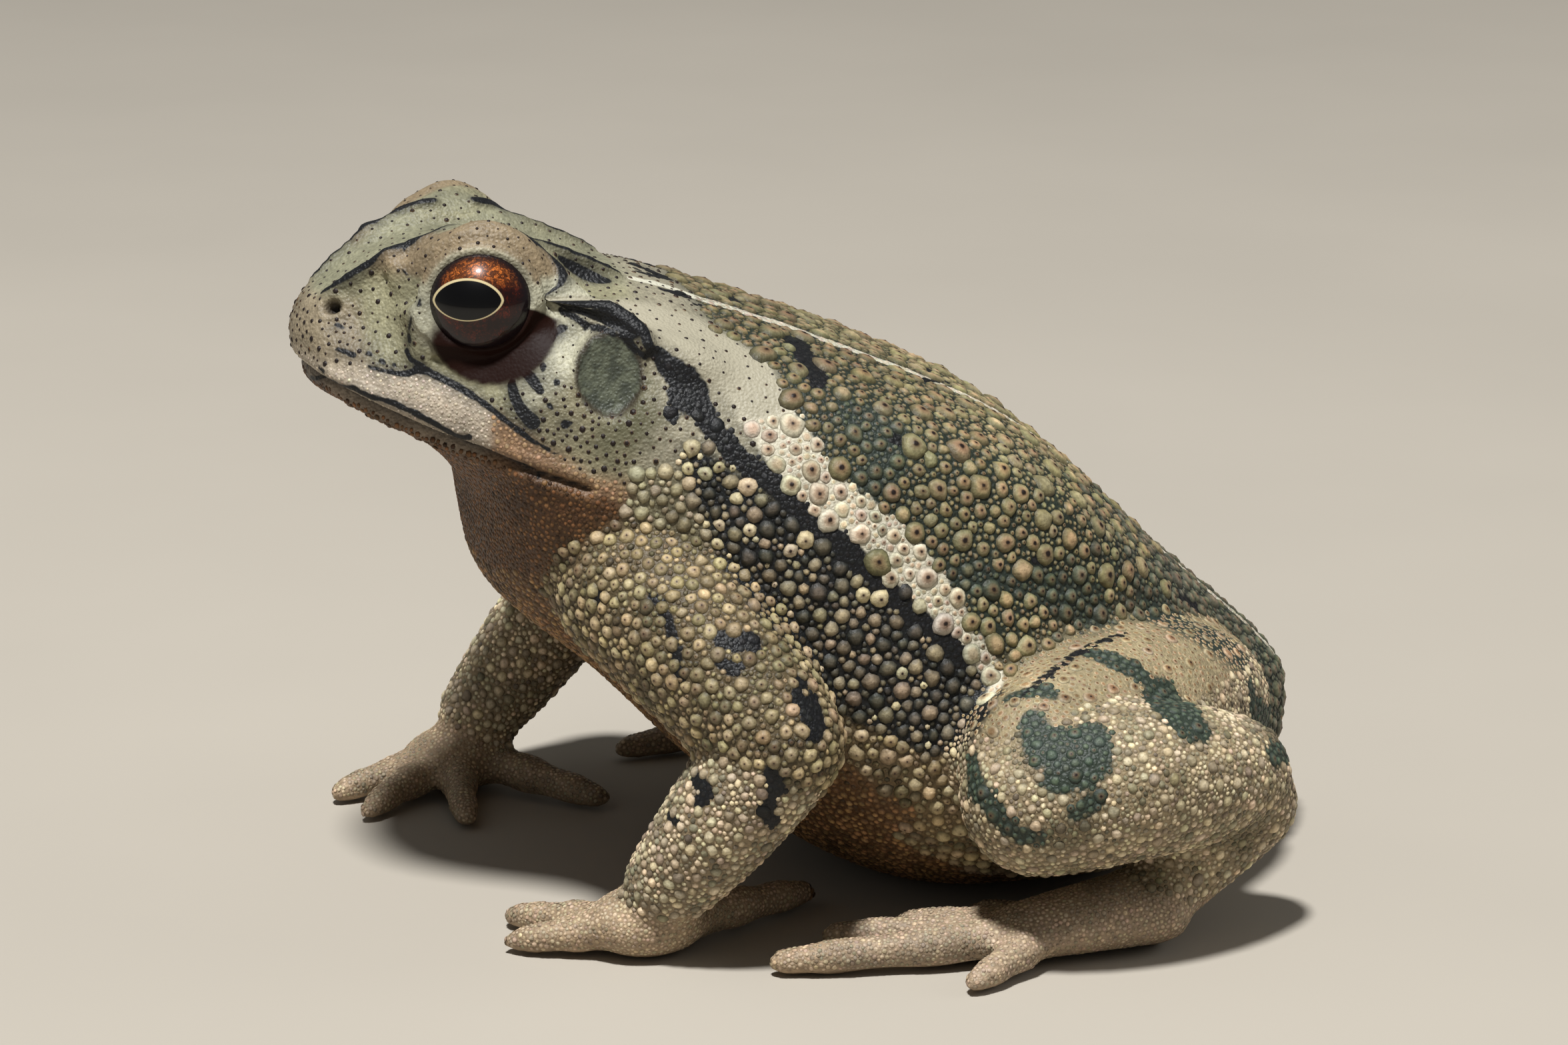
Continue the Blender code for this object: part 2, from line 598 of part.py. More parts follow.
def add_warts(piece, host, wanted, others, random):
    """Fuses warts to a piece. They stand on host, its plain form, where that is still the surface.
    wanted lists (points, size, most), and points is None for places drawn by chance. A wart stays
    clear of the other pieces, the floor and its neighbours."""
    form, own, near = tree_of([host]), tree_of([piece]), tree_of(others)
    placed, domes = [], []
    for points, size, most in wanted:
        half = WART_SIZES[size][0] * (1 + WART_JITTER)
        if points is None:
            chosen = chance_points(host, random, most * WART_TRIES)
        else:
            chosen = [Vector(point) * MM for point in points]
        count = 0
        for point in chosen:
            place, outward, _, _ = form.find_nearest(point)
            clear = near.find_nearest(place)[3] > (half + WART_SPACE) * MM
            apart = all((place - spot).length > (half + other) * MM for spot, other in placed)
            on_skin = own.find_nearest(place)[3] < WART_ON_SKIN * MM
            if count == most or not (clear and apart and on_skin and place.z > LOWEST_WART * MM):
                continue
            placed.append((place, half + WART_SPACE / 2))
            domes.append(wart(place, outward, size, random))
            count += 1
    if domes:
        boolean(piece, "UNION", domes)
        keep_largest(piece)


def all_warts(pieces):
    """Warts on the trunk and limbs, with the same counts on both sides."""
    random = Random(WART_SEED)
    named = {piece.name: piece for piece in pieces}
    hosts = {"torso": trunk()}
    for side in SIDES:
        for kind, limb in (("thigh", THIGH), ("shank", SHANK)):
            hosts[f"{side}_{kind}"] = tube("host", *mirror_limb(limb, side))
        for kind in ("upper_arm", "forearm"):
            hosts[f"{side}_{kind}"] = tube("host", *ARMS[side][kind])
    for name, host in hosts.items():
        wanted = []
        if name == "torso":
            for side in SIDES:
                for row, count, size in WART_ROWS:
                    wanted.append(([mirror_point(point, side) for point in through(row, count)], size, count))
        kind = name.replace("left_", "").replace("right_", "")
        wanted += [(None, size, most) for size, most in SCATTERED[kind]]
        others = [piece for piece in pieces if piece.name != name]
        add_warts(named[name], host, wanted, others, random)
        bpy.data.objects.remove(host, do_unlink=True)


def finish(pieces):
    """Gives each piece its material and smooth shading, and centres the whole over the origin."""
    corners = np.concatenate([[vert.co[:] for vert in piece.data.vertices] for piece in pieces])
    low, high = corners.min(axis=0), corners.max(axis=0)
    shift = Matrix.Translation((-(low[0] + high[0]) / 2, -(low[1] + high[1]) / 2, -low[2]))
    for piece in pieces:
        kind = piece.name.replace("left_", "").replace("right_", "")
        colour = COLOURS.get(kind, COLOURS["limb"])
        piece.data.transform(shift)
        piece.data.name = piece.name
        piece.data.materials.clear()
        roughness = EYE_ROUGHNESS if kind == "eye" else SKIN_ROUGHNESS
        piece.data.materials.append(material(piece.name, colour, roughness))
        piece.data.shade_smooth()
        piece.data.set_sharp_from_angle(angle=SHARP_ANGLE)


def main():
    clear_scene()
    head, jaw, torso = head_and_torso()
    pieces = [head, jaw, torso]
    for side in SIDES:
        pieces.append(eye_sphere(side + "_eye", side, EYE_RADIUS))
        facing = mirror_point(EARDRUM_FACING, side)
        ear = mirror_point(EARDRUM, side)
        pieces.append(disc(side + "_eardrum", ear, facing, EARDRUM_HALF, EARDRUM_DEPTH))
    for side in SIDES:
        pieces += arm(side)
        pieces += hind_leg(side)
    all_warts(pieces)
    finish(pieces)


main()
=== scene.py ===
import math

import bmesh
import bpy
import numpy as np
from mathutils import Matrix, Vector, noise
from mathutils.bvhtree import BVHTree
from mathutils.kdtree import KDTree


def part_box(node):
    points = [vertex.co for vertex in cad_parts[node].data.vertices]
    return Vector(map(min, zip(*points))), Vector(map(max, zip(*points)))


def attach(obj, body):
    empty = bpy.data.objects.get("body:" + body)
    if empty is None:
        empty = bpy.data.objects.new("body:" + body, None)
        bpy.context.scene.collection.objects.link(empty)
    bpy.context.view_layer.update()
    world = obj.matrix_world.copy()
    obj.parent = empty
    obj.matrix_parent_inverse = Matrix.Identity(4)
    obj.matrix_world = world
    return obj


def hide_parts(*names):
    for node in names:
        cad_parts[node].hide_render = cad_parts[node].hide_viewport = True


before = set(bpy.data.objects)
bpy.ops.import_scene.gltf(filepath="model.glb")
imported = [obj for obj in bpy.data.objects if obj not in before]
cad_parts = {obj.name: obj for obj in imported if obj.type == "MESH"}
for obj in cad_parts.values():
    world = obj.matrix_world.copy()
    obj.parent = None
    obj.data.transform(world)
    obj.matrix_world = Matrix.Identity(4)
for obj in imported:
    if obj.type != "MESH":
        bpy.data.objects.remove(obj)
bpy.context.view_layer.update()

MM = 0.001
SIDES = {"left": 1.0, "right": -1.0}
# The picture: the camera's angles in degrees, distance and target in mm, and focal length.
CAMERA_AZIMUTH, CAMERA_ELEVATION, CAMERA_DISTANCE, CAMERA_LENS = 76.0, 15.0, 420.0, 118.29
CAMERA_TARGET = (0.0, -4.15, 28.5)
WORLD_STRENGTH = 0.22
# Lamps: metres to the right of, above and in front of the toad as the camera sees it, then width
# and power.
LAMPS = (
    ("key", (-0.12, 0.95, 0.62), 0.14, 20.0),
    ("fill", (0.9, 0.5, 0.1), 0.6, 1.5),
)
# Skin: size of the cells that fuse the forms, how far it lies inside them, and the most triangles
# in one piece of warts.
VOXEL = 0.68
SKIN_DEPTH = 0.12
MOST_TRIANGLES = 190000

# The toad faces -Y, its left side is +X and it rests on Z = 0. Sizes are in millimetres.
# Head and trunk, from the snout to the vent: y and z of the top, y and z of the bottom, and the half
# widths at five shares of the way up between them.
HEIGHTS = (0.06, 0.25, 0.50, 0.75, 0.94)
STATIONS = (
    ((-44.1, 48.2), (-44.0, 45.2), (1.2, 2.0, 2.3, 2.0, 1.2)),
    ((-43.5, 49.7), (-43.4, 43.6), (2.6, 4.4, 4.6, 3.8, 2.2)),
    ((-42.0, 50.3), (-42.3, 42.4), (3.8, 6.6, 6.3, 4.8, 3.0)),
    ((-39.4, 51.8), (-40.2, 41.0), (4.6, 8.8, 8.0, 5.8, 3.8)),
    ((-35.6, 53.7), (-36.8, 39.2), (5.6, 11.2, 9.9, 7.2, 4.6)),
    ((-30.6, 54.5), (-33.0, 36.6), (7.2, 13.6, 12.4, 9.4, 5.0)),
    ((-26.0, 53.8), (-30.9, 33.6), (8.0, 15.2, 15.0, 12.2, 6.4)),
    ((-21.5, 51.9), (-30.4, 30.2), (8.6, 15.6, 16.6, 14.8, 8.2)),
    ((-16.3, 50.4), (-29.6, 26.5), (9.0, 16.2, 18.0, 17.0, 11.0)),
    ((-9.7, 47.8), (-26.6, 23.0), (9.4, 17.0, 19.6, 19.0, 13.6)),
    ((-2.6, 45.0), (-20.8, 18.0), (10.0, 19.2, 22.2, 21.0, 16.0)),
    ((5.4, 41.5), (-12.6, 9.6), (11.5, 22.0, 24.0, 22.0, 17.6)),
    ((12.8, 37.7), (-5.0, 3.4), (13.5, 24.0, 24.8, 21.6, 17.2)),
    ((19.4, 32.5), (3.5, -0.4), (14.0, 24.0, 24.0, 19.6, 15.2)),
    ((25.1, 27.0), (13.0, -0.8), (13.5, 22.0, 21.6, 16.8, 11.6)),
    ((30.2, 22.5), (22.0, -0.4), (11.5, 18.4, 17.8, 13.4, 7.6)),
    ((34.8, 18.4), (29.5, 2.2), (8.0, 13.6, 13.2, 9.8, 5.6)),
    ((37.5, 15.6), (35.0, 6.0), (4.6, 8.0, 7.8, 6.0, 3.6)),
    ((38.8, 13.2), (38.0, 9.6), (1.2, 2.2, 2.2, 1.8, 1.1)),
)
TRUNK_SIDES, TRUNK_RINGS = 96, 90
END_BULGE = 0.5

# The limbs of the left side, as in the solids: points along each and the half thickness there.
LEG = {
    "thigh": (((10.5, 26.5, 13.6), (19.5, 18.0, 15.4), (27.4, 9.6, 15.4)), (7.6, 8.0, 6.8)),
    "shank": (((30.2, 8.8, 13.6), (30.4, 16.4, 14.4), (26.6, 25.4, 12.8)), (6.4, 6.3, 5.0)),
    "tarsus": (((25.8, 27.0, 10.4), (26.8, 22.2, 6.4), (28.2, 18.4, 3.6)), (4.3, 3.7, 3.2)),
    "foot": (((28.2, 18.6, 3.3), (29.2, 12.5, 2.9), (29.6, 7.4, 2.4)), (3.1, 2.7, 2.3)),
}
FOOT_WIDEN = 1.35
TOES = (
    (((27.6, 12.6, 2.2), (23.4, 9.4, 1.6), (20.6, 6.4, 1.0)), (1.5, 1.2, 1.0)),
    (((28.2, 10.0, 2.2), (24.2, 4.6, 1.6), (21.4, 0.4, 1.0)), (1.6, 1.3, 1.0)),
    (((28.8, 8.4, 2.2), (26.0, 0.8, 1.7), (23.4, -6.0, 1.1)), (1.7, 1.4, 1.1)),
    (((29.8, 8.0, 2.2), (29.6, -2.0, 1.8), (28.4, -11.4, 1.1)), (1.8, 1.5, 1.1)),
    (((30.4, 9.0, 2.2), (33.4, 5.6, 1.7), (36.0, 2.0, 1.0)), (1.7, 1.4, 1.0)),
)
HEEL_KNOB = ((28.4, 18.4, 1.3), (1.6, 2.2, 1.5))
ARMS = {
    "left": {
        "upper_arm": (((14.0, -19.0, 28.6), (21.0, -15.0, 23.6), (26.0, -11.0, 18.2)), (7.4, 6.4, 5.2)),
        "forearm": (((25.8, -11.6, 17.0), (24.6, -15.4, 11.6), (22.4, -19.0, 6.2)), (5.0, 4.6, 3.6)),
        "palm": ((20.8, -20.4, 2.7), (3.8, 5.0, 2.9)),
        "fingers": (
            (((20.4, -17.4, 2.4), (16.6, -11.2, 1.9), (12.8, -5.8, 1.1)), (1.8, 1.5, 1.1)),
            (((19.6, -20.4, 2.2), (14.4, -20.2, 1.7), (9.4, -19.4, 1.0)), (1.8, 1.4, 1.0)),
            (((19.6, -22.2, 2.2), (16.0, -26.2, 1.7), (12.4, -29.4, 1.0)), (1.8, 1.4, 1.0)),
            (((20.6, -22.4, 2.2), (19.8, -26.8, 1.7), (18.2, -30.4, 1.0)), (1.8, 1.4, 1.0)),
        ),
    },
    "right": {
        "upper_arm": (((-14.0, -19.0, 28.6), (-21.0, -17.4, 23.6), (-25.4, -15.6, 18.4)), (7.4, 6.2, 5.1)),
        "forearm": (((-25.4, -16.2, 17.2), (-25.2, -20.6, 11.8), (-25.0, -25.0, 6.4)), (4.9, 4.5, 3.6)),
        "palm": ((-24.4, -27.0, 2.7), (3.8, 5.0, 2.9)),
        "fingers": (
            (((-23.6, -24.4, 2.4), (-19.0, -20.6, 1.9), (-15.4, -16.6, 1.1)), (1.8, 1.5, 1.1)),
            (((-23.2, -27.0, 2.2), (-18.0, -28.0, 1.7), (-13.0, -28.4, 1.0)), (1.8, 1.4, 1.0)),
            (((-23.4, -29.0, 2.2), (-20.0, -33.0, 1.7), (-17.0, -36.0, 1.0)), (1.8, 1.4, 1.0)),
            (((-24.4, -29.2, 2.2), (-23.6, -33.8, 1.7), (-22.2, -37.8, 1.0)), (1.8, 1.4, 1.0)),
        ),
    },
}

# Head: ridges and lips, as points along each and its half thickness.
RIDGES = (
    (((2.6, -42.2, 48.7), (3.5, -39.4, 51.2), (4.4, -36.6, 53.0), (4.8, -33.4, 53.9)), 1.0),
    (((4.8, -34.4, 53.8), (5.0, -30.8, 54.2), (5.3, -27.6, 53.7), (6.6, -25.2, 52.3)), 1.15),
    (((5.4, -26.4, 53.4), (8.0, -24.6, 51.9), (10.6, -23.4, 50.4), (12.4, -23.4, 48.6)), 1.1),
    (((5.0, -27.0, 53.7), (5.0, -23.6, 52.5), (4.8, -19.8, 50.6)), 1.0),
    (((10.4, -23.6, 50.4), (12.6, -21.4, 49.6), (14.6, -18.8, 47.4)), 1.35),
    (((5.0, -36.8, 53.4), (7.6, -36.6, 50.6), (10.2, -35.4, 46.0)), 0.85),
)
UPPER_LIP = (
    ((5.6, -42.2, 44.8), (8.7, -39.4, 43.6), (11.4, -35.0, 41.8), (13.8, -29.6, 39.8), (15.0, -25.2, 38.5)),
    0.8,
)
LOWER_LIP = (
    ((4.9, -42.0, 43.4), (8.0, -39.4, 42.0), (10.7, -35.0, 40.0), (13.2, -29.6, 37.9), (14.6, -25.6, 36.7)),
    0.6,
)
# Gland behind the ear: its middle and half widths, and its slope in degrees. Then the line of the
# mouth, by y and z.
PAROTOID = ((13.2, -14.6, 44.8), (3.8, 6.0, 2.6))
PAROTOID_SLOPE = -28.0
MOUTH = ((-45.0, 44.8), (-43.4, 44.2), (-39.3, 42.4), (-34.7, 40.4), (-28.0, 38.2), (-24.0, 37.0))

# Eye: its middle and radius, the way it looks, the bulge of the lids, the half width and height of
# the opening, and the middle and half widths of the pouch under it and of the pupil, both as
# somebody looking into the eye sees them.
EYE = (9.0, -30.5, 50.4)
EYE_RADIUS = 4.6
GAZE = (0.94, -0.25, 0.20)
LID = ((8.6, -30.8, 50.8), (5.7, 6.1, 6.0))
OPENING = (3.75, 3.45)
LOWER_LID = ((0.9, -1.7), (5.2, 5.0))
PUPIL = (-0.85, 0.05)
PUPIL_HALF = (2.65, 1.55)
# Eardrum: its middle, the way it faces, and its half width and height. Then the nostril.
EARDRUM = (15.4, -21.9, 45.5)
EARDRUM_FACING = (0.96, -0.12, 0.22)
EARDRUM_HALF = (2.35, 2.95)
NOSTRIL = (4.0, -41.5, 49.4)

# Black lines along the tops of the ridges.
CREST_LINES = (
    (
        (2.7, -41.8, 50.1, 0.22), (4.1, -39.6, 52.2, 0.34), (4.7, -37.6, 53.4, 0.37),
        (5.2, -35.6, 54.2, 0.38), (5.5, -33.9, 54.4, 0.36), (5.6, -31.6, 54.6, 0.26),
    ),
    (
        (5.5, -28.4, 55.3, 0.32), (6.3, -26.9, 54.8, 0.48), (7.6, -25.5, 53.8, 0.4),
        (8.9, -24.5, 53.0, 0.32), (10.0, -24.0, 52.1, 0.32), (11.2, -23.5, 51.2, 0.28),
    ),
    ((6.0, -26.4, 54.4, 0.2), (5.3, -24.2, 53.6, 0.23), (5.1, -21.6, 52.4, 0.23), (4.9, -18.9, 51.0, 0.2)),
    (
        (10.6, -23.9, 51.0, 0.2), (12.2, -22.9, 50.9, 0.34), (13.4, -21.8, 50.6, 0.42),
        (14.2, -20.6, 50.0, 0.46), (14.9, -19.4, 48.8, 0.46), (15.3, -18.8, 47.6, 0.36),
    ),
)
# Pale line down the middle of the back: y, z and half width.
MIDLINE = (
    (-17.5, 50.7, 0.5), (-10.5, 48.2, 0.8), (-5.0, 46.0, 0.95), (2.8, 42.6, 0.95), (8.4, 39.6, 1.0),
    (16.4, 34.6, 1.05), (22.8, 29.2, 1.05), (28.7, 23.9, 0.95), (34.7, 18.4, 0.75), (37.7, 15.6, 0.5),
)
# It wavers: by how much, and the two rates of its waves along the back.
MIDLINE_WAVE = (0.45, 0.9, 0.37)
# How far it lies from the middle, by y.
MIDLINE_SIDE = ((-12.0, 4.6), (0.0, 5.2), (12.0, 5.0), (20.0, 4.0), (30.0, 2.2))
# Hollows of the head: middle, half widths and depth.
HOLLOWS = (
    ((6.6, -39.8, 48.6), (2.4, 1.8, 1.8), 0.5),
    ((9.4, -37.9, 48.2), (2.0, 1.4, 1.8), 0.35),
    ((0.0, -35.5, 54.3), (2.6, 3.4, 2.0), 0.55),
    ((0.0, -29.5, 54.6), (3.2, 3.6, 2.0), 0.65),
    ((0.0, -23.0, 53.0), (3.4, 3.4, 2.0), 0.5),
    ((7.6, -22.2, 51.6), (1.8, 1.8, 1.5), 0.35),
    ((7.2, -33.2, 55.9), (1.1, 2.8, 1.8), 0.55),
)
# Black and dark brown marks of the face.
FACE_MARKS = (
    ((4.7, -36.6, 54.3, 0.3), (4.9, -36.2, 54, 0.3)),
    ((5.3, -35.9, 53.4, 0.17), (4.8, -35.7, 53.1, 0.17)),
    ((6.7, -36.7, 52.7, 0.15), (7, -36.7, 52.4, 0.15)),
    ((8.8, -36.6, 52, 0.17), (9.2, -36.6, 51.6, 0.17)),
    ((10.1, -36.5, 51, 0.15), (10.4, -36.5, 50.6, 0.15)),
    ((10, -36.3, 49.5, 0.15), (9.5, -36.3, 48.6, 0.12)),
    ((9.6, -36.6, 48, 0.22), (9.7, -36.5, 47.7, 0.22)),
    (
        (12.8, -24.9, 48.9, 0.3), (13.1, -25.7, 48.4, 0.35), (13.6, -26.6, 47.7, 0.34),
        (13.8, -27.3, 46.9, 0.44), (13.9, -27.5, 46.7, 0.3),
    ),
    (
        (14.1, -29.3, 45, 0.34), (14.6, -29.2, 43.9, 0.44), (15.2, -28.7, 42.9, 0.49),
        (15.7, -28, 42.1, 0.59),
    ),
    ((14.3, -28.1, 45.6, 0.39), (14.9, -27.5, 44.9, 0.44), (15.2, -27.3, 44.5, 0.29)),
    ((14.5, -26.8, 46.2, 0.27), (14.6, -26.8, 45.9, 0.22)),
    ((15.3, -26, 45.2, 0.27), (15.4, -26, 44.9, 0.22)),
    ((16.5, -25.6, 42, 0.39), (16.6, -25.3, 42.1, 0.25)),
    ((15.8, -26.7, 43.4, 0.25), (15.9, -26.6, 43.2, 0.2)),
    ((12.3, -23.6, 50.2, 0.4), (13.3, -22.4, 49.8, 0.5), (14.3, -21.3, 49.3, 0.6), (15.2, -20.2, 48.6, 0.6)),
    ((7.1, -26.0, 54.8, 0.45), (7.8, -25.0, 54.0, 0.3)),
    ((6.1, -23.5, 52.9, 0.25), (6.1, -22.3, 52.0, 0.5), (6.4, -20.9, 51.4, 0.5), (6.4, -19.8, 51.2, 0.3)),
    ((5.3, -41.5, 48.4, 0.22), (5.7, -41.2, 48.3, 0.17)),
    ((6.4, -41.6, 46.6, 0.2), (7.7, -40.6, 46.4, 0.2)),
    ((8.1, -39.6, 46.6, 0.22), (8.3, -39.4, 46.5, 0.2)),
    ((9, -38.7, 46.1, 0.2), (9.2, -38.5, 46, 0.17)),
    ((9.6, -36.7, 46.9, 0.25), (9.8, -36.5, 46.5, 0.2)),
    ((9.6, -37.8, 45.9, 0.17), (9.7, -37.7, 45.8, 0.15)),
    (
        (8.7, -39.5, 45.6, 0.15), (9.4, -38.6, 45.4, 0.17), (10, -37.7, 45.3, 0.2),
        (10.5, -36.8, 45.3, 0.25), (10.7, -35.8, 45.6, 0.35), (11.5, -34.7, 45.2, 0.3),
        (12.2, -33.6, 44.6, 0.27), (13.1, -32.3, 43.9, 0.25), (13.9, -31.2, 43.2, 0.22),
        (14.7, -30.1, 42.3, 0.22), (15.5, -29, 41.4, 0.22), (16, -27.9, 40.6, 0.17),
        (16.4, -27, 40.1, 0.15), (16.7, -26.3, 39.7, 0.12),
    ),
    ((10, -36.4, 46.3, 0.25), (10.8, -35.7, 45.8, 0.3)),
    (
        (1, -43.3, 44.3, 0.15), (1.4, -42.6, 43.7, 0.15), (6.4, -42.1, 44.2, 0.17),
        (7.4, -41.2, 43.9, 0.17), (8.3, -40.4, 43.9, 0.22), (9.3, -39.4, 43.4, 0.22),
        (10.4, -38.1, 43.1, 0.22), (11.1, -37, 42.6, 0.22), (11.9, -35.6, 41.9, 0.25),
        (12.4, -34.2, 41.2, 0.25), (12.8, -33.3, 40.6, 0.3), (13.4, -32.5, 40.7, 0.25),
    ),
    (
        (13.5, -31.8, 40, 0.12), (14.3, -30.6, 39.5, 0.15), (15.2, -29.3, 39, 0.15),
        (16, -28.2, 38.5, 0.15), (15.3, -27.3, 37.8, 0.12),
    ),
    ((5.7, -42.9, 45.1, 0.15), (6.3, -42.6, 44.7, 0.15)),
)
# Black marks of the neck, back, flank and arm, and a painted shadow along the crease above the thigh.
BODY_MARKS = (
    (
        (12.1, -24.2, 49.8, 0.35), (12.8, -23.2, 48.9, 0.25), (13.5, -21.8, 48.6, 0.3),
        (15.5, -21, 48.1, 0.34), (15.8, -20, 47.2, 0.39), (15.3, -19.1, 46.9, 0.49),
    ),
    (
        (15.8, -18.5, 47.1, 0.49), (16.1, -17.7, 46.5, 0.83), (16.5, -16.8, 45.5, 1.08),
        (17, -15.7, 44.3, 1.22), (17.9, -15.3, 43.1, 0.98), (18.7, -14.7, 42, 0.94),
        (19.3, -13.8, 40.7, 0.88), (20, -12.8, 39.4, 0.9), (20.6, -11.5, 38.6, 0.82),
        (21.2, -10.3, 37.5, 0.9), (21.7, -9.2, 36.4, 0.82), (22.3, -8.1, 34.9, 0.82),
        (22.7, -6.6, 33.7, 0.9), (23.6, -5.2, 33, 0.9), (23.3, -3.9, 31.2, 0.91),
    ),
    ((17.3, -17.2, 44.1, 0.59), (18, -17, 43, 0.55), (18.2, -17.6, 42.5, 0.39)),
    (
        (7.5, -7.5, 46.6, 0.48), (8.3, -6.7, 46.1, 0.73), (9.1, -5.2, 45.4, 0.93),
        (13.2, -5.2, 45.1, 1.04), (14.4, -5.1, 44.1, 1.04), (15.6, -5.8, 43.2, 0.76),
    ),
    ((6.2, -4.9, 45.7, 0.37), (6, -3, 45, 0.33), (7.8, -1.5, 44.7, 0.32)),
    ((2.6, 3, 42.6, 0.29), (1.9, 2.4, 42.9, 0.21)),
    ((1.6, -16.3, 50.7, 0.45), (0.8, -14.4, 49.9, 0.61), (-1.8, -12.2, 48.9, 0.45)),
    ((6, -15.4, 50, 0.32), (5.2, -13.6, 49.3, 0.4)),
    ((7.1, -13, 48.9, 0.28), (6.9, -12.5, 48.7, 0.24)),
    ((5.6, -15.6, 50.1, 0.3), (5.8, -14.5, 49.6, 0.45), (6.0, -13.4, 49.1, 0.35)),
    ((0.0, -16.3, 50.6, 0.35), (-1.1, -14.7, 49.9, 0.5), (-2.3, -12.9, 49.1, 0.6), (-3.1, -11.2, 48.4, 0.55)),
    (
        (-1.1, -10.2, 47.9, 0.4), (-0.7, -8.9, 47.4, 0.6), (0.8, -8.0, 47.0, 0.6), (3.2, -7.5, 46.8, 0.4),
    ),
    (
        (7.8, -8.6, 46.8, 0.4), (7.8, -7.0, 46.2, 0.6), (9.7, -6.1, 45.5, 0.8), (12.1, -5.6, 44.7, 0.9),
        (14.7, -5.7, 43.7, 0.8),
    ),
    ((-1.8, 0.1, 43.8, 0.35), (-2.2, 1.9, 43.0, 0.5), (-2.2, 3.6, 42.3, 0.4)),
    ((4.2, 19.2, 31.9, 0.4), (6.9, 19.6, 31.1, 0.6), (9.0, 20.2, 29.8, 0.4)),
    # Painted shadow: the dark crease between the top of the thigh and the body.
    (
        (29.0, 6.9, 21.2, 0.3), (27.6, 9.4, 22.1, 0.42), (24.9, 12.4, 22.8, 0.45), (22.7, 15.2, 23.2, 0.42),
        (20.1, 18.8, 23.2, 0.3),
    ),
    ((-2.9, -9.6, 47.8, 0.54), (-1.6, -8.6, 47.4, 0.66), (-3.1, -7, 46.8, 0.54)),
    ((-3.4, -1.2, 44.5, 0.29), (-3.5, -0.5, 44.2, 0.21)),
    ((-1.5, -0.2, 44, 0.33), (0.1, 1.1, 43.5, 0.29)),
    ((17.8, -0.2, 39.3, 0.52), (18.2, -0.1, 38.9, 0.44)),
    (
        (23.6, -5, 32.4, 0.71), (23.4, -3.5, 30.6, 0.63), (23.6, -2.1, 29.3, 0.75),
        (23.8, -0.6, 27.8, 0.83), (24, 1, 26.3, 0.83), (24.2, 2.6, 24.8, 0.95), (24.3, 4.1, 23.3, 0.95),
    ),
    (
        (22.4, -20.3, 29.6, 0.27), (23, -19.8, 29.2, 0.43), (24.2, -19.3, 27.8, 0.51),
        (25.1, -19.1, 26.4, 0.47), (25.5, -19, 25.1, 0.47), (26, -18.7, 23.8, 0.47),
    ),
    (
        (26.1, -15.7, 27.1, 0.66), (26.7, -14.9, 26.6, 0.9), (26.2, -13.3, 26.7, 0.66),
        (27, -13.1, 25.9, 0.51),
    ),
    ((27.1, -15.9, 25.3, 0.51), (27.6, -15.1, 24.8, 0.66), (27.5, -14.3, 25.4, 0.47)),
    (
        (27.5, -9.4, 23.6, 0.66), (28.7, -10.3, 22.8, 0.58), (29.5, -9.9, 21.6, 0.78),
        (28.4, -8.7, 22.2, 0.7), (30.1, -9.7, 19.9, 0.82), (29.3, -8.5, 20.4, 0.66),
    ),
    ((26.4, -17.8, 15.9, 0.59), (27.9, -17.4, 15.5, 0.78), (27.8, -17.8, 14.5, 0.67)),
    ((25.4, -19.6, 12.8, 0.43), (26.8, -19.2, 12.6, 0.43)),
    (
        (30.2, -12.7, 17.1, 0.78), (30.7, -12.2, 16.2, 0.66), (30.4, -13, 14.9, 0.78),
        (29.8, -12.4, 13.1, 0.7),
    ),
    ((19.4, -23.8, 29.2, 0.47), (19.7, -23.7, 28.5, 0.43)),
    ((-1.1, 10, 39, 0.71), (-4.7, 12.7, 37.3, 0.72), (-8.1, 15.3, 35.7, 0.43)),
    ((9.4, 6.6, 40.1, 0.41), (8.5, 8.2, 39.5, 0.37)),
    ((9.3, 10.1, 38.5, 0.29), (6.2, 12.2, 37.3, 0.25)),
    ((6, 13.8, 36.2, 0.37), (6.5, 14.1, 35.9, 0.29)),
    ((-0, 16.3, 34.7, 0.34), (-0, 16.8, 34.3, 0.25)),
    ((7.7, 18.3, 32.1, 0.41), (8.1, 19.1, 31.6, 0.41)),
    ((10.9, 17.3, 31.7, 0.33), (11.8, 17.3, 31.3, 0.25)),
    ((12.9, 14.1, 33.7, 0.37), (13.7, 13.9, 33.3, 0.28)),
    ((14.1, 19, 28.4, 0.37), (14.7, 19, 27.9, 0.33)),
    ((12.2, 21.5, 26.6, 0.37), (12.6, 21.6, 26.1, 0.29)),
    ((10.3, 26.3, 22.8, 0.62), (8.9, 28.3, 21.6, 0.71)),
    ((19.7, 10.9, 29.6, 0.44), (19.5, 11.4, 29.3, 0.28)),
    ((8.1, 4.7, 42.1, 0.41), (3, 8.1, 40.1, 0.54), (-4.6, 12.4, 37.5, 0.72), (-8.1, 15.5, 35.6, 0.73)),
    ((-4.2, 6.6, 40.9, 0.34), (1.8, 5.6, 41.9, 0.25)),
    ((9.5, 6.7, 40, 0.41), (8.2, 8.3, 39.4, 0.37)),
)
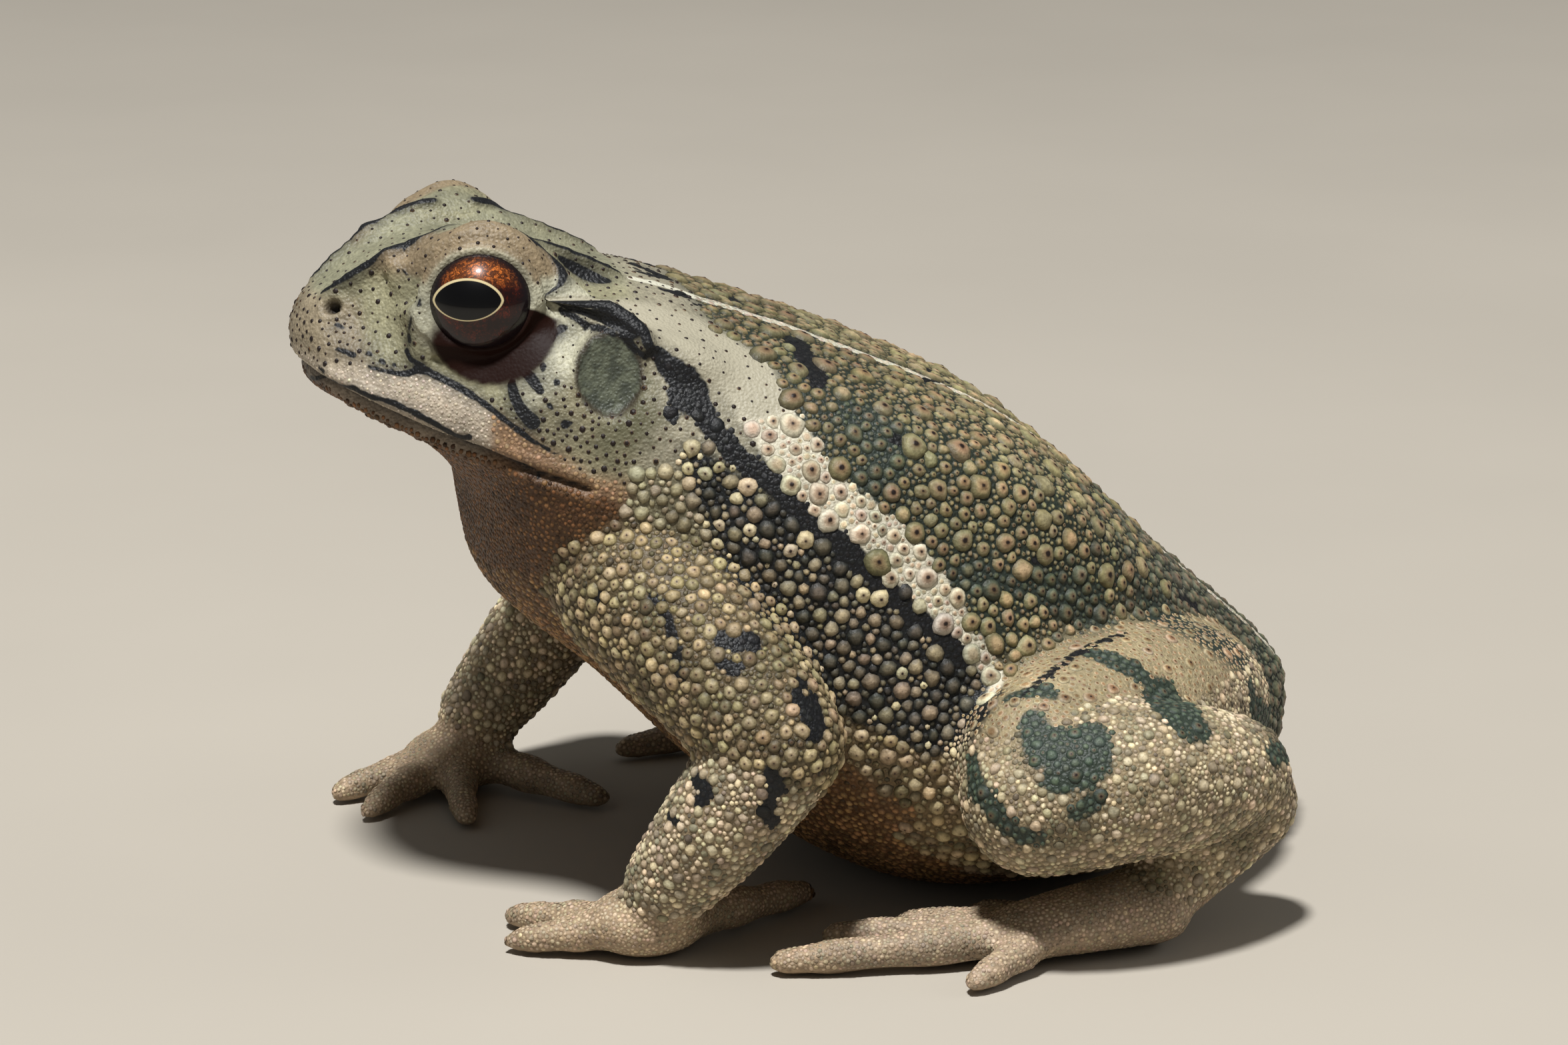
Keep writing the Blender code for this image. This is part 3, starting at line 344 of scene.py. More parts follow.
# Dark bars across the hind leg.
LEG_BARS = (
    (
        (31.4, 7.9, 19.9, 0.98), (33.7, 8.1, 18.9, 1.86), (34.7, 9.8, 18.5, 2.15),
        (34.2, 11.6, 19.6, 1.37), (36.4, 11.1, 17.9, 1.36), (35.9, 8, 16.9, 1.17),
    ),
    ((26.1, 20.3, 19.8, 1.5), (31.4, 19.4, 19.8, 2.28), (32.8, 20.6, 18.9, 1.28)),
    ((16.7, 30.4, 16.7, 0.95), (16.6, 31.1, 14.5, 1.45), (9.2, 35.3, 10.2, 1.69), (30.5, 28, 15.6, 1)),
    ((24.4, 14.6, 22.9, 0.72), (25.3, 16.4, 22.4, 1.24), (26, 18.2, 21.2, 1.04)),
    ((28.3, 6.8, 20.7, 0.51), (28.7, 8.5, 21.5, 0.83), (29.3, 9.8, 21.3, 0.63)),
    (
        (29.7, 3.3, 16.6, 0.98), (31.9, 3.1, 15.2, 1.18), (33.8, 4, 14.1, 0.98), (34.7, 5.2, 12.7, 0.82),
        (35.6, 7.2, 12.2, 0.59),
    ),
    ((36.8, 9.6, 14, 0.66), (36.8, 11.2, 15.3, 0.74)),
)
# Grey green areas of the rump and of the back above the stripe.
MOSS = (
    ((14.8, 22.2, 22.8, 2.15), (15.5, 25.9, 21.6, 3.23), (14.8, 30.1, 19.2, 2.71)),
    ((20.3, 11.5, 27.6, 1.57), (18.3, 16.6, 24.8, 1.8)),
    ((17.3, -2.8, 40.8, 1.79), (18.7, -1.1, 39, 1.98), (20.9, -2.7, 36.8, 1.18)),
    ((23, 3.3, 29.1, 0.99), (22.2, 6.4, 29.1, 1.19), (21.3, 9.6, 27.8, 1.2)),
)
# Pale stripe down the side.
STRIPE = (
    (
        (14.9, -11.1, 45.2, 2.08), (17.8, -10.2, 42.6, 2.13), (19.5, -9, 40.5, 2.13),
        (21, -7.4, 38.1, 2.01), (21.8, -5.6, 36, 1.89), (22.4, -2.8, 33.9, 1.81),
        (22.9, -0.7, 31.9, 1.78), (23.2, 1.2, 29.8, 1.6), (23.6, 3.1, 27.2, 1.4), (24.1, 4.1, 25.1, 1.24),
        (24.4, 5.6, 23.5, 0.99), (24.1, 6.8, 21.7, 0.73), (25.8, 6.1, 20.3, 0.62),
    ),
)
# Pinkish tan skin over the gland behind the ear.
NECK = (
    (
        (13.6, -21.9, 49.9, 1.5), (11.4, -19.1, 49.3, 2.3), (12.3, -16.1, 48.2, 3.0),
        (13.8, -13.8, 47.4, 3.2), (15.2, -11.8, 45.4, 3.0), (17.0, -10.6, 43.2, 2.3),
    ),
)
# Dusky skin below and behind the ear.
BELOW_EAR = (((16.6, -19.6, 44.4, 1.0), (17.2, -20.2, 42.0, 1.8), (16.8, -22.2, 40.6, 1.6)),)
# Dark flank under the stripe.
FLANK = (
    (
        (19.7, -16, 39.4, 1.33), (20.4, -14.6, 37.1, 2.05), (21.6, -12.5, 34.3, 3.08),
        (22.8, -9.1, 30.7, 4.37), (23.7, -5.1, 26.4, 5.15), (24.5, -1, 22.6, 5.17),
        (24.9, 3.2, 19.7, 4.2), (27.2, 4.2, 18.8, 1.8),
    ),
)

# All of them by the name of their distance. The broad ones need fewer points.
MARKS = {
    "line": CREST_LINES + FACE_MARKS,
    "ink_and_crease_shade": BODY_MARKS,
    "bars": LEG_BARS,
    "moss": MOSS,
    "band": STRIPE,
    "neck": NECK,
    "side": FLANK,
    "crest": CREST_LINES,
}
BROAD_MARKS = ("side", "moss", "neck")
# How far forward and outward the right arm is from where the left one is, by height.
ARM_SHIFT_AT = (3, 6, 18, 28)
RIGHT_ARM_AHEAD = (6.6, 6.0, 4.6, 0.0)
RIGHT_ARM_OUT = (3.6, 2.6, -0.6, 0.0)
# A point no further outside a limb than LIMB_REACH belongs to it. So does a sole, which is lower than
# SOLE_TOP and further from the middle than SOLE_FROM, and a hand ends at HAND_REACH. Both are settled
# by changing the gap by FIRMLY. A limb is measured in LIMB_STEPS stretches.
LIMB_REACH = 0.45
LIMB_STEPS = 13
SOLE_TOP = 4.2
SOLE_FROM = {"foot": 19.3, "hand": 8.0}
HAND_REACH = 16
FIRMLY = 14.0

# Markings of the skin in the order that they are painted: colour, and how soft and how ragged the
# edge is, in mm. They hide those before them.
SKIN_MARKS = {
    "moss": ("#2A322C", 1.2, 2.0),
    "side": ("#141617", 0.7, 2.2),
    "middle": ("#C6C3B0", 0.1, 0.7),
    "band": ("#C4BEAA", 0.25, 1.3),
    "neck": ("#A09A86", 0.9, 1.6),
    "bars_edge": ("#1E2422", 0.2, 1.2),
    "bars": ("#2E372E", 0.3, 1.2),
    "below_ear": ("#5E5C46", 1.6, 3.0),
    "ear_rim": ("#3B352A", 0.3, 0.5),
    "ear": ("#3E4238", 0.25, 0.6),
    "ear_patch": ("#5C6050", 0.5, 3.4),
    # Black marks, and the painted shadow in the crease above the thigh.
    "ink_and_crease_shade": ("#121315", 0.12, 0.9),
    "line": ("#121315", 0.06, 0.3),
    # The pouch under the eye, painted dark brown as the shadow that the eye casts over it.
    "lower_lid": ("#1E0E09", 0.35, 0.4),
}
# Those that the warts carry too.
PAINTED = ("neck", "moss", "side", "middle", "band", "bars", "ink_and_crease_shade")


def hexa(text):
    """A linear colour from an sRGB hex value."""
    parts = [int(text[at : at + 2], 16) / 255 for at in (1, 3, 5)]
    return tuple(part / 12.92 if part <= 0.04045 else ((part + 0.055) / 1.055) ** 2.4 for part in parts)


def smooth(value, low, high):
    """0 at low, 1 at high and a soft step between them."""
    part = np.clip((value - low) / (high - low), 0.0, 1.0)
    return part * part * (3 - 2 * part)


def through(points, count):
    """Rows spaced evenly along a smooth line through the given rows of numbers."""
    rows = np.asarray(points, float)
    steps = np.linalg.norm(np.diff(rows[:, :3], axis=0), axis=1)
    at = np.concatenate([[0.0], np.cumsum(steps)])
    slopes = np.empty_like(rows)
    slopes[1:-1] = (rows[2:] - rows[:-2]) / (at[2:] - at[:-2])[:, None]
    slopes[0] = slopes[-1] = (rows[1] - rows[0]) / steps[0]
    if len(rows) > 2:
        slopes[0] = 2 * slopes[0] - slopes[1]
        slopes[-1] = 2 * (rows[-1] - rows[-2]) / steps[-1] - slopes[-2]
    where = np.linspace(0.0, at[-1], count)
    low = np.clip(np.searchsorted(at, where, side="right") - 1, 0, len(steps) - 1)
    span = steps[low][:, None]
    part = ((where - at[low]) / steps[low])[:, None]
    start = (1 + 2 * part) * (1 - part) ** 2 * rows[low]
    finish = part**2 * (3 - 2 * part) * rows[low + 1]
    lean = part * (1 - part) ** 2 * slopes[low] - part**2 * (1 - part) * slopes[low + 1]
    return start + finish + span * lean


def add_to(body, bm):
    """Adds a closed bmesh to the body's, its faces turned outward."""
    bmesh.ops.recalc_face_normals(bm, faces=bm.faces)
    if bm.calc_volume(signed=True) < 0:
        bmesh.ops.reverse_faces(bm, faces=bm.faces)
    mesh = bpy.data.meshes.new("form")
    bm.to_mesh(mesh)
    bm.free()
    body.from_mesh(mesh)
    bpy.data.meshes.remove(mesh)


def add_loft(body, rings, ends):
    """A closed form from a sphere whose rings of points are moved onto the given rings."""
    count, sides = len(rings), len(rings[0])
    bm = bmesh.new()
    bmesh.ops.create_uvsphere(bm, u_segments=sides, v_segments=count + 1, radius=1.0)
    for vert in bm.verts:
        ring = round(math.acos(max(-1.0, min(1.0, vert.co.z))) / math.pi * (count + 1))
        if ring in (0, count + 1):
            vert.co = Vector(ends[0] if ring == 0 else ends[1])
            continue
        side = round(math.atan2(vert.co.y, vert.co.x) / (2 * math.pi) * sides) % sides
        vert.co = Vector(rings[ring - 1][side])
    add_to(body, bm)


def add_limb(body, points, radii, sides=36, rings=20, widen=1.0, knuckles=0.0):
    """A tapered limb along a smooth line with round ends. widen makes it broad, knuckles lumpy."""
    line = through(np.column_stack([points, radii]), rings)
    centres, sizes = line[:, :3], line[:, 3]
    part = np.linspace(0.0, 1.0, rings)
    sizes = sizes * (1 + knuckles * np.cos(part * math.pi * 5))
    along = np.gradient(centres, axis=0)
    along /= np.linalg.norm(along, axis=1)[:, None]
    up = np.array([0.0, 0.0, 1.0]) if abs(along[0, 2]) < 0.6 else np.array([1.0, 0.0, 0.0])
    angles = np.arange(sides) * 2 * math.pi / sides

    def ring(centre, direction, size):
        """Points round the limb at one place."""
        across = np.cross(up, direction)
        across /= np.linalg.norm(across)
        rise = np.cross(direction, across)
        return centre + size * (np.outer(np.cos(angles) * widen, across) + np.outer(np.sin(angles), rise))

    def cap(end, way, angle):
        """One ring of the round end at the first or last place, outward by way."""
        out = way * along[end] * sizes[end] * math.sin(angle)
        return ring(centres[end] + out, along[end], sizes[end] * math.cos(angle))

    caps = np.radians((72, 48, 24))
    made = [cap(0, -1, angle) for angle in caps]
    made += [ring(*station) for station in zip(centres, along, sizes)]
    made += [cap(-1, 1, angle) for angle in caps[::-1]]
    add_loft(body, made, (centres[0] - along[0] * sizes[0], centres[-1] + along[-1] * sizes[-1]))


def add_blob(body, centre, half, turn=None):
    """A closed ellipsoid with these half widths."""
    bm = bmesh.new()
    bmesh.ops.create_uvsphere(bm, u_segments=40, v_segments=24, radius=1.0)
    bmesh.ops.scale(bm, vec=half, verts=bm.verts)
    if turn is not None:
        bmesh.ops.rotate(bm, matrix=turn, verts=bm.verts)
    bmesh.ops.translate(bm, vec=centre, verts=bm.verts)
    add_to(body, bm)


def flip(point, sign):
    """A point of the left side, on the side of this sign."""
    return (point[0] * sign, *point[1:])


def trunk_rings():
    """The rings of the head and trunk, snout first. Each starts at the bottom and goes up the left."""
    rows = []
    for top, bottom, widths in STATIONS:
        middle = ((top[0] + bottom[0]) / 2, (top[1] + bottom[1]) / 2, 0.0)
        rows.append((*middle, *top, *bottom, *widths))
    rings = []
    for row in through(rows, TRUNK_RINGS):
        top, bottom = row[3:5], row[5:7]
        height = math.dist(top, bottom)
        levels = np.concatenate([[0.0], HEIGHTS, [1.0]]) * height
        half = np.concatenate([[0.0], row[7:12], [0.0]])
        outline = through(np.column_stack([half, levels, np.zeros(len(half))]), TRUNK_SIDES // 2 + 1)
        across, up = outline[:, 0], outline[:, 1] / height
        across[[0, -1]] = 0.0
        order = [index if index <= TRUNK_SIDES // 2 else TRUNK_SIDES - index for index in range(TRUNK_SIDES)]
        signs = [1.0 if index <= TRUNK_SIDES // 2 else -1.0 for index in range(TRUNK_SIDES)]
        up, across = up[order], across[order] * signs
        y = bottom[0] + (top[0] - bottom[0]) * up
        z = bottom[1] + (top[1] - bottom[1]) * up
        rings.append(np.column_stack([across, y, z]))
    return rings


def limbs_of(side):
    """The named limbs of one side, as points and half thickness."""
    sign = SIDES[side]
    found = {name: ([flip(p, sign) for p in points], radii) for name, (points, radii) in LEG.items()}
    arm = ARMS[side]
    found.update({name: arm[name] for name in ("upper_arm", "forearm")})
    found["hand"] = ((arm["forearm"][0][2], arm["palm"][0]), (3.0, 3.4))
    digits = [([flip(p, sign) for p in points], radii) for points, radii in TOES]
    return found, digits, arm["fingers"]


def toad_forms():
    """All the forms of flesh in one mesh, still overlapping."""
    body = bmesh.new()
    rings = trunk_rings()
    snout, vent = rings[0].mean(axis=0), rings[-1].mean(axis=0)
    snout[1] -= END_BULGE
    vent[1] += END_BULGE
    add_loft(body, rings, (snout, vent))
    slope = Matrix.Rotation(math.radians(PAROTOID_SLOPE), 3, "X")
    for side, sign in SIDES.items():
        add_blob(body, flip(LID[0], sign), LID[1])
        add_blob(body, flip(PAROTOID[0], sign), PAROTOID[1], slope)
        for points, thick in (*RIDGES, UPPER_LIP, LOWER_LIP):
            add_limb(body, [flip(p, sign) for p in points], (thick,) * len(points), 16, 14)
        limbs, toes, fingers = limbs_of(side)
        for name, (points, radii) in limbs.items():
            if name != "hand":
                add_limb(body, points, radii, widen=FOOT_WIDEN if name == "foot" else 1.0)
        add_blob(body, *ARMS[side]["palm"])
        add_blob(body, flip(HEEL_KNOB[0], sign), HEEL_KNOB[1])
        for points, radii in (*toes, *fingers):
            add_limb(body, points, [size + 0.12 for size in radii], 16, 20, knuckles=0.07)
    return body, rings


def fused(body, voxel):
    """The outer surface of all the overlapping forms, as one closed mesh of even faces."""
    mesh = bpy.data.meshes.new("forms")
    body.to_mesh(mesh)
    body.free()
    made = placed("forms", mesh)
    step = made.modifiers.new("fuse", "REMESH")
    step.mode = "VOXEL"
    step.voxel_size = voxel
    step.adaptivity = 0.0
    bpy.context.view_layer.update()
    result = bpy.data.meshes.new_from_object(made.evaluated_get(bpy.context.evaluated_depsgraph_get()))
    bpy.data.objects.remove(made, do_unlink=True)
    return result


def placed(name, data):
    """A new object of the scene at the origin."""
    made = bpy.data.objects.new(name, data)
    bpy.context.scene.collection.objects.link(made)
    return made


def to_frame(bm):
    """Moves a bmesh from the toad's own millimetres to its place in the frame, in metres."""
    bmesh.ops.translate(bm, vec=SHIFT, verts=bm.verts)
    bmesh.ops.scale(bm, vec=(MM, MM, MM), verts=bm.verts)


def set_numbers(mesh, label, values):
    """Gives each corner of a mesh a number that its material can read."""
    mesh.attributes.new(label, "FLOAT", "POINT").data.foreach_set("value", values.astype(np.float32))


def set_colours(mesh, label, colours):
    """Gives each corner of a mesh a linear colour that its material can read."""
    rows = np.column_stack([colours, np.ones(len(colours))]).astype(np.float32)
    mesh.attributes.new(label, "FLOAT_COLOR", "POINT").data.foreach_set("color", rows.ravel())


def on_left(points):
    """The points, with those of the right side mirrored to the left."""
    return np.column_stack([np.abs(points[:, 0]), points[:, 1:]])


def head_share(points):
    """1 on the head, 0 on the trunk and a soft step between them."""
    return smooth(-points[:, 1], 22.5, 24.5) * smooth(points[:, 2], 30, 34)


def edge_ends(mesh):
    """The two corners of each edge."""
    edges = np.empty(len(mesh.edges) * 2, np.int64)
    mesh.edges.foreach_get("vertices", edges)
    return edges.reshape(-1, 2)


def corners(mesh):
    """The places of a mesh's corners, one row each."""
    points = np.empty(len(mesh.vertices) * 3)
    mesh.vertices.foreach_get("co", points)
    return points.reshape(-1, 3)


def normals(mesh):
    """The outward direction at each corner of a mesh."""
    found = np.empty(len(mesh.vertices) * 3)
    mesh.vertex_normals.foreach_get("vector", found)
    return found.reshape(-1, 3)


def move_to(mesh, points):
    """Moves a mesh's corners to the given places."""
    mesh.vertices.foreach_set("co", np.asarray(points, np.float32).ravel())
    mesh.update()


def relax(mesh, passes, weight=None):
    """Evens out a mesh and keeps its volume: each pass smooths it and then swells it back."""
    points = corners(mesh)
    edges = edge_ends(mesh)
    many = np.bincount(edges.ravel(), minlength=len(points))[:, None]
    weight = np.ones(len(points)) if weight is None else weight
    for _ in range(passes):
        for amount in (0.55, -0.57):
            total = np.column_stack(
                [
                    np.bincount(edges[:, 0], points[edges[:, 1], axis], len(points))
                    + np.bincount(edges[:, 1], points[edges[:, 0], axis], len(points))
                    for axis in range(3)
                ]
            )
            points = points + (amount * weight)[:, None] * (total / many - points)
    move_to(mesh, points)


def refine(mesh, chosen):
    """Halves the edges between the chosen corners."""
    bm = bmesh.new()
    bm.from_mesh(mesh)
    bm.verts.ensure_lookup_table()
    edges = [edge for edge in bm.edges if chosen[edge.verts[0].index] and chosen[edge.verts[1].index]]
    bmesh.ops.subdivide_edges(bm, edges=edges, cuts=1, use_grid_fill=True)
    bmesh.ops.triangulate(bm, faces=[face for face in bm.faces if len(face.verts) > 4])
    bm.to_mesh(mesh)
    bm.free()
    mesh.update()


def reach(points, chains):
    """How far each point lies outside the nearest tapered line, up to 4 mm. Inside is negative."""
    best = np.full(len(points), 4.0)
    for chain in chains:
        rows = np.asarray(chain, float)
        wide = rows[:, 3].max() + 4.0
        low, high = rows[:, :3].min(axis=0) - wide, rows[:, :3].max(axis=0) + wide
        near = np.flatnonzero(((points > low) & (points < high)).all(axis=1))
        if not len(near):
            continue
        here = points[near]
        for start, end in zip(rows[:-1], rows[1:]):
            along = end[:3] - start[:3]
            part = np.clip((here - start[:3]) @ along / max(along @ along, 1e-9), 0.0, 1.0)
            gap = np.linalg.norm(here - start[:3] - part[:, None] * along, axis=1)
            gap -= start[3] + part * (end[3] - start[3])
            best[near] = np.minimum(best[near], gap)
    return best


def laid(chains, tree, step=0.6):
    """The lines with more points, each laid on the skin."""
    found = []
    for chain in chains:
        rows = np.asarray(chain, float)
        length = np.linalg.norm(np.diff(rows[:, :3], axis=0), axis=1).sum()
        line = through(rows, max(2, int(length / step) + 1))
        for row in line:
            row[:3] = tree.find_nearest(Vector(row[:3]))[0]
        found.append(line)
    return found


def side_view_gap(points, line):
    """Distance from a line given as y and z, seen from the side."""
    best = np.full(len(points), 9.0)
    rows = np.asarray(line, float)
    for start, end in zip(rows[:-1], rows[1:]):
        along = end - start
        part = np.clip((points[:, 1:] - start) @ along / (along @ along), 0.0, 1.0)
        best = np.minimum(best, np.linalg.norm(points[:, 1:] - start - part[:, None] * along, axis=1))
    return best


def facing_axes(facing):
    """Unit vectors towards, to the right and up, as somebody looking at the spot sees them."""
    front = np.asarray(facing, float)
    front /= np.linalg.norm(front)
    right = np.array([-front[1], front[0], 0.0])
    right /= np.linalg.norm(right)
    return front, right, np.cross(front, right)


def place_on_trunk(points, rings):
    """How far along the trunk each point is, where round it, and how high on its side."""
    kd = KDTree(len(rings) * TRUNK_SIDES)
    for ring, row in enumerate(rings):
        for side, point in enumerate(row):
            kd.insert(point, ring * TRUNK_SIDES + side)
    kd.balance()
    near = np.array([kd.find(point)[1] for point in points])
    turn = near % TRUNK_SIDES
    return {
        "along": near // TRUNK_SIDES / (len(rings) - 1),
        "turn": turn / TRUNK_SIDES,
        "height": 1 - np.abs(turn / (TRUNK_SIDES / 2) - 1),
    }


def place_on_limbs(points):
    """The limb each point belongs to, counted from 1, how far along it, and where round it."""
    best = np.full(len(points), LIMB_REACH)
    limb = np.zeros(len(points), int)
    part_of = np.zeros(len(points))
    spin = np.zeros(len(points))
    for index, (side, name) in enumerate(LIMB_TILES, 1):
        line, radii = limbs_of(side)[0][name]
        line = through(np.column_stack([line, radii]), LIMB_STEPS + 1)
        for at, (start, end) in enumerate(zip(line[:-1], line[1:])):
            along = end[:3] - start[:3]
            part = np.clip((points - start[:3]) @ along / (along @ along), 0.0, 1.0)
            off = points - start[:3] - part[:, None] * along
            gap = np.linalg.norm(off, axis=1) - (start[3] + part * (end[3] - start[3]))
            if name in SOLE_FROM:
                # A sole belongs to its foot, but the belly beside it doesn't.
                sole = (points[:, 2] < SOLE_TOP) & (np.abs(points[:, 0]) > SOLE_FROM[name])
                gap = np.where(sole, gap - FIRMLY, gap)
            if name == "hand":
                gap = np.where(np.linalg.norm(points - end[:3], axis=1) > HAND_REACH, gap + FIRMLY, gap)
            better = gap < best
            best[better] = gap[better]
            limb[better] = index
            part_of[better] = ((at + part) / LIMB_STEPS)[better]
            across = np.cross(along, (0.0, 0.3, 1.0))
            across /= np.linalg.norm(across)
            rise = np.cross(across, along) / np.linalg.norm(along)
            spin[better] = (np.arctan2(off @ rise, off @ across) / (2 * math.pi) + 0.5)[better]
    return {"limb": limb, "part": part_of, "spin": spin}


def skin_fields(points, rings, tree):
    """What the skin is at each of its points: place on the trunk or a limb, and all markings."""
    fields = {**place_on_trunk(points, rings), **place_on_limbs(points)}
    # The right arm is set further forward than the left one, so its marks are read there.
    spot = on_left(points)
    arm_tiles = [LIMB_TILES.index(("right", name)) + 1 for name in ("upper_arm", "forearm", "hand")]
    right_arm = np.isin(fields["limb"], arm_tiles)
    high = spot[right_arm, 2]
    spot[right_arm, 1] += np.interp(high, ARM_SHIFT_AT, RIGHT_ARM_AHEAD)
    spot[right_arm, 0] -= np.interp(high, ARM_SHIFT_AT, RIGHT_ARM_OUT)
    for name, chains in MARKS.items():
        laid_lines = laid(chains, tree, 2.0 if name in BROAD_MARKS else 0.6)
        fields[name] = reach(spot, laid_lines)
    middle = through(MIDLINE, 120)
    behind = middle[:, 0]
    wave = MIDLINE_WAVE[0] * np.sin(behind * MIDLINE_WAVE[1]) * np.sin(behind * MIDLINE_WAVE[2])
    wave = np.interp(behind, *zip(*MIDLINE_SIDE)) + wave
    fields["middle"] = reach(points, laid([np.column_stack([wave, middle])], tree))
    fields["mouth"] = side_view_gap(points, MOUTH)
    return fields


def eye_place(points, sign):
    """Places seen from in front of one eye, in mm: towards the tail, up, and out from its middle."""
    front, right, up = facing_axes(GAZE)
    off = points * (sign, 1.0, 1.0) - EYE
    return off @ right, off @ up, off @ front, np.linalg.norm(off, axis=1)


def shape_eyelids(points, fields):
    """Opens the skin over each eye and gives it the rim, the lower lid's bulge and a soft ring."""
    fields["socket"] = np.zeros(len(points))
    fields["lower_lid"] = np.full(len(points), 4.0)
    fields["eye_ring"] = np.full(len(points), 9.0)
    for sign in SIDES.values():
        across, rise, out, away = eye_place(points, sign)
        near = np.flatnonzero((away < 10.0) & (out > -4.0))
        across, rise, out, away = across[near], rise[near], out[near], away[near]
        aside = np.hypot(across, rise)
        # The opening is an oval, so its half width depends on the way round it.
        oval = aside / np.maximum(np.hypot(across / OPENING[0], rise / OPENING[1]), 1e-6)
        open_at = np.arctan2(aside, out) / np.arcsin(np.minimum(oval / EYE_RADIUS, 0.99))
        low_mid, low_half = LOWER_LID
        lid_at = np.hypot((across - low_mid[0]) / low_half[0], (rise - low_mid[1]) / low_half[1])
        # Below the eye's middle the lower lid takes over from the upper one.
        under = smooth(-rise, -0.3, 1.6)
        # Rim: from well behind the ball's surface to the lid's edge, then out to the skin's own place.
        edge = EYE_RADIUS - 1.3 + 1.9 * smooth(open_at, 0.97, 1.10) + 9.0 * smooth(open_at, 1.09, 1.5)
        lid = EYE_RADIUS + 0.5 + 0.3 * np.exp(-(((open_at - 1.24) / 0.1) ** 2))
        lid -= 0.3 * np.exp(-(((open_at - 1.5) / 0.07) ** 2))
        low = EYE_RADIUS + 0.35 + (away - EYE_RADIUS - 0.35) * smooth(lid_at, 0.6, 0.98)
        wanted = lid * (1 - under) + low * under
        level = np.minimum(edge, wanted)
        out_top = smooth(open_at, 1.42, 1.8)
        out_low = smooth(lid_at, 1.0, 1.3) * smooth(open_at, 1.12, 1.4)
        free = out_top * (1 - under) + out_low * under
        # A groove bounds the pouch, and low folds run round it.
        groove = 0.22 * np.exp(-(((lid_at - 1.02) / 0.045) ** 2)) * under * smooth(open_at, 1.1, 1.2)
        folds = 0.05 * np.sin(open_at * 22.0 + across * 0.7)
        folds *= smooth(open_at, 1.2, 1.4)
        folds *= 1 - smooth(open_at, 2.0, 2.5)
        target = level * (1 - free) + away * free - groove + folds
        points[near] = moved_from_eye(points[near], sign, target / away)
        fields["socket"][near] = np.maximum(fields["socket"][near], 1 - smooth(open_at, 1.0, 1.08))
        # The pouch's reach, which the skin's material paints dark brown as the eye's shadow.
        fields["lower_lid"][near] = np.where(open_at > 0.9, (lid_at - 1.0) * 4.5 + 3.0 * (1 - under), 4.0)
        fields["eye_ring"][near] = (open_at - 1.0) * 3.9
    return points


def moved_from_eye(points, sign, factor):
    """The points moved along their rays from the middle of one eye."""
    eye = np.array(flip(EYE, sign))
    return eye + (points - eye) * factor[:, None]


def shape_eardrums(points, fields):
    """A shallow flat oval with a low rim on each side of the head."""
    fields["ear"] = np.full(len(points), 4.0)
    front, right, up = facing_axes(EARDRUM_FACING)
    for sign in SIDES.values():
        off = points * (sign, 1.0, 1.0) - EARDRUM
        across, rise, out = off @ right, off @ up, off @ front
        at = np.hypot(across / EARDRUM_HALF[0], rise / EARDRUM_HALF[1])
        near = (at < 1.6) & (np.abs(out) < 4.0)
        level = 0.25 * at**2
        pull = (1 - smooth(at, 0.95, 1.35)) * near
        move = pull * (level - out) + near * 0.28 * np.exp(-(((at - 1.13) / 0.1) ** 2))
        points += move[:, None] * (front * (sign, 1.0, 1.0))
        fields["ear"][near] = ((at - 1.0) * 3.0)[near]
    return points


def shape_head(points, outward, fields, tree):
    """Crests, the line of the mouth, the hollows between the ridges and the nostrils."""
    half = on_left(points)
    crest = np.exp(-((np.maximum(fields["crest"] + 0.15, 0.0) / 0.4) ** 2))
    head = head_share(points)
    # The mouth is a groove between two low lips.
    mouth = np.exp(-((fields["mouth"] / 0.26) ** 2)) * head
    lips = np.exp(-(((fields["mouth"] - 0.85) / 0.45) ** 2)) * head
    move = 0.34 * crest - 0.62 * mouth + 0.2 * lips
    for spot, wide, deep in HOLLOWS:
        gap = np.linalg.norm((half - spot) / wide, axis=1)
        move -= deep * np.exp(-(gap**2)) * (1 - 0.8 * crest)
    nostril = np.array(tree.find_nearest(Vector(NOSTRIL))[0])
    off = np.linalg.norm((half - nostril) * (1.0, 0.8, 1.25), axis=1)
    # A nostril is a pit with a rim.
    move += 0.22 * np.exp(-(((off - 0.9) / 0.3) ** 2)) - 1.1 * np.exp(-((off / 0.56) ** 2))
    fields["nostril"] = off
    return points + move[:, None] * outward


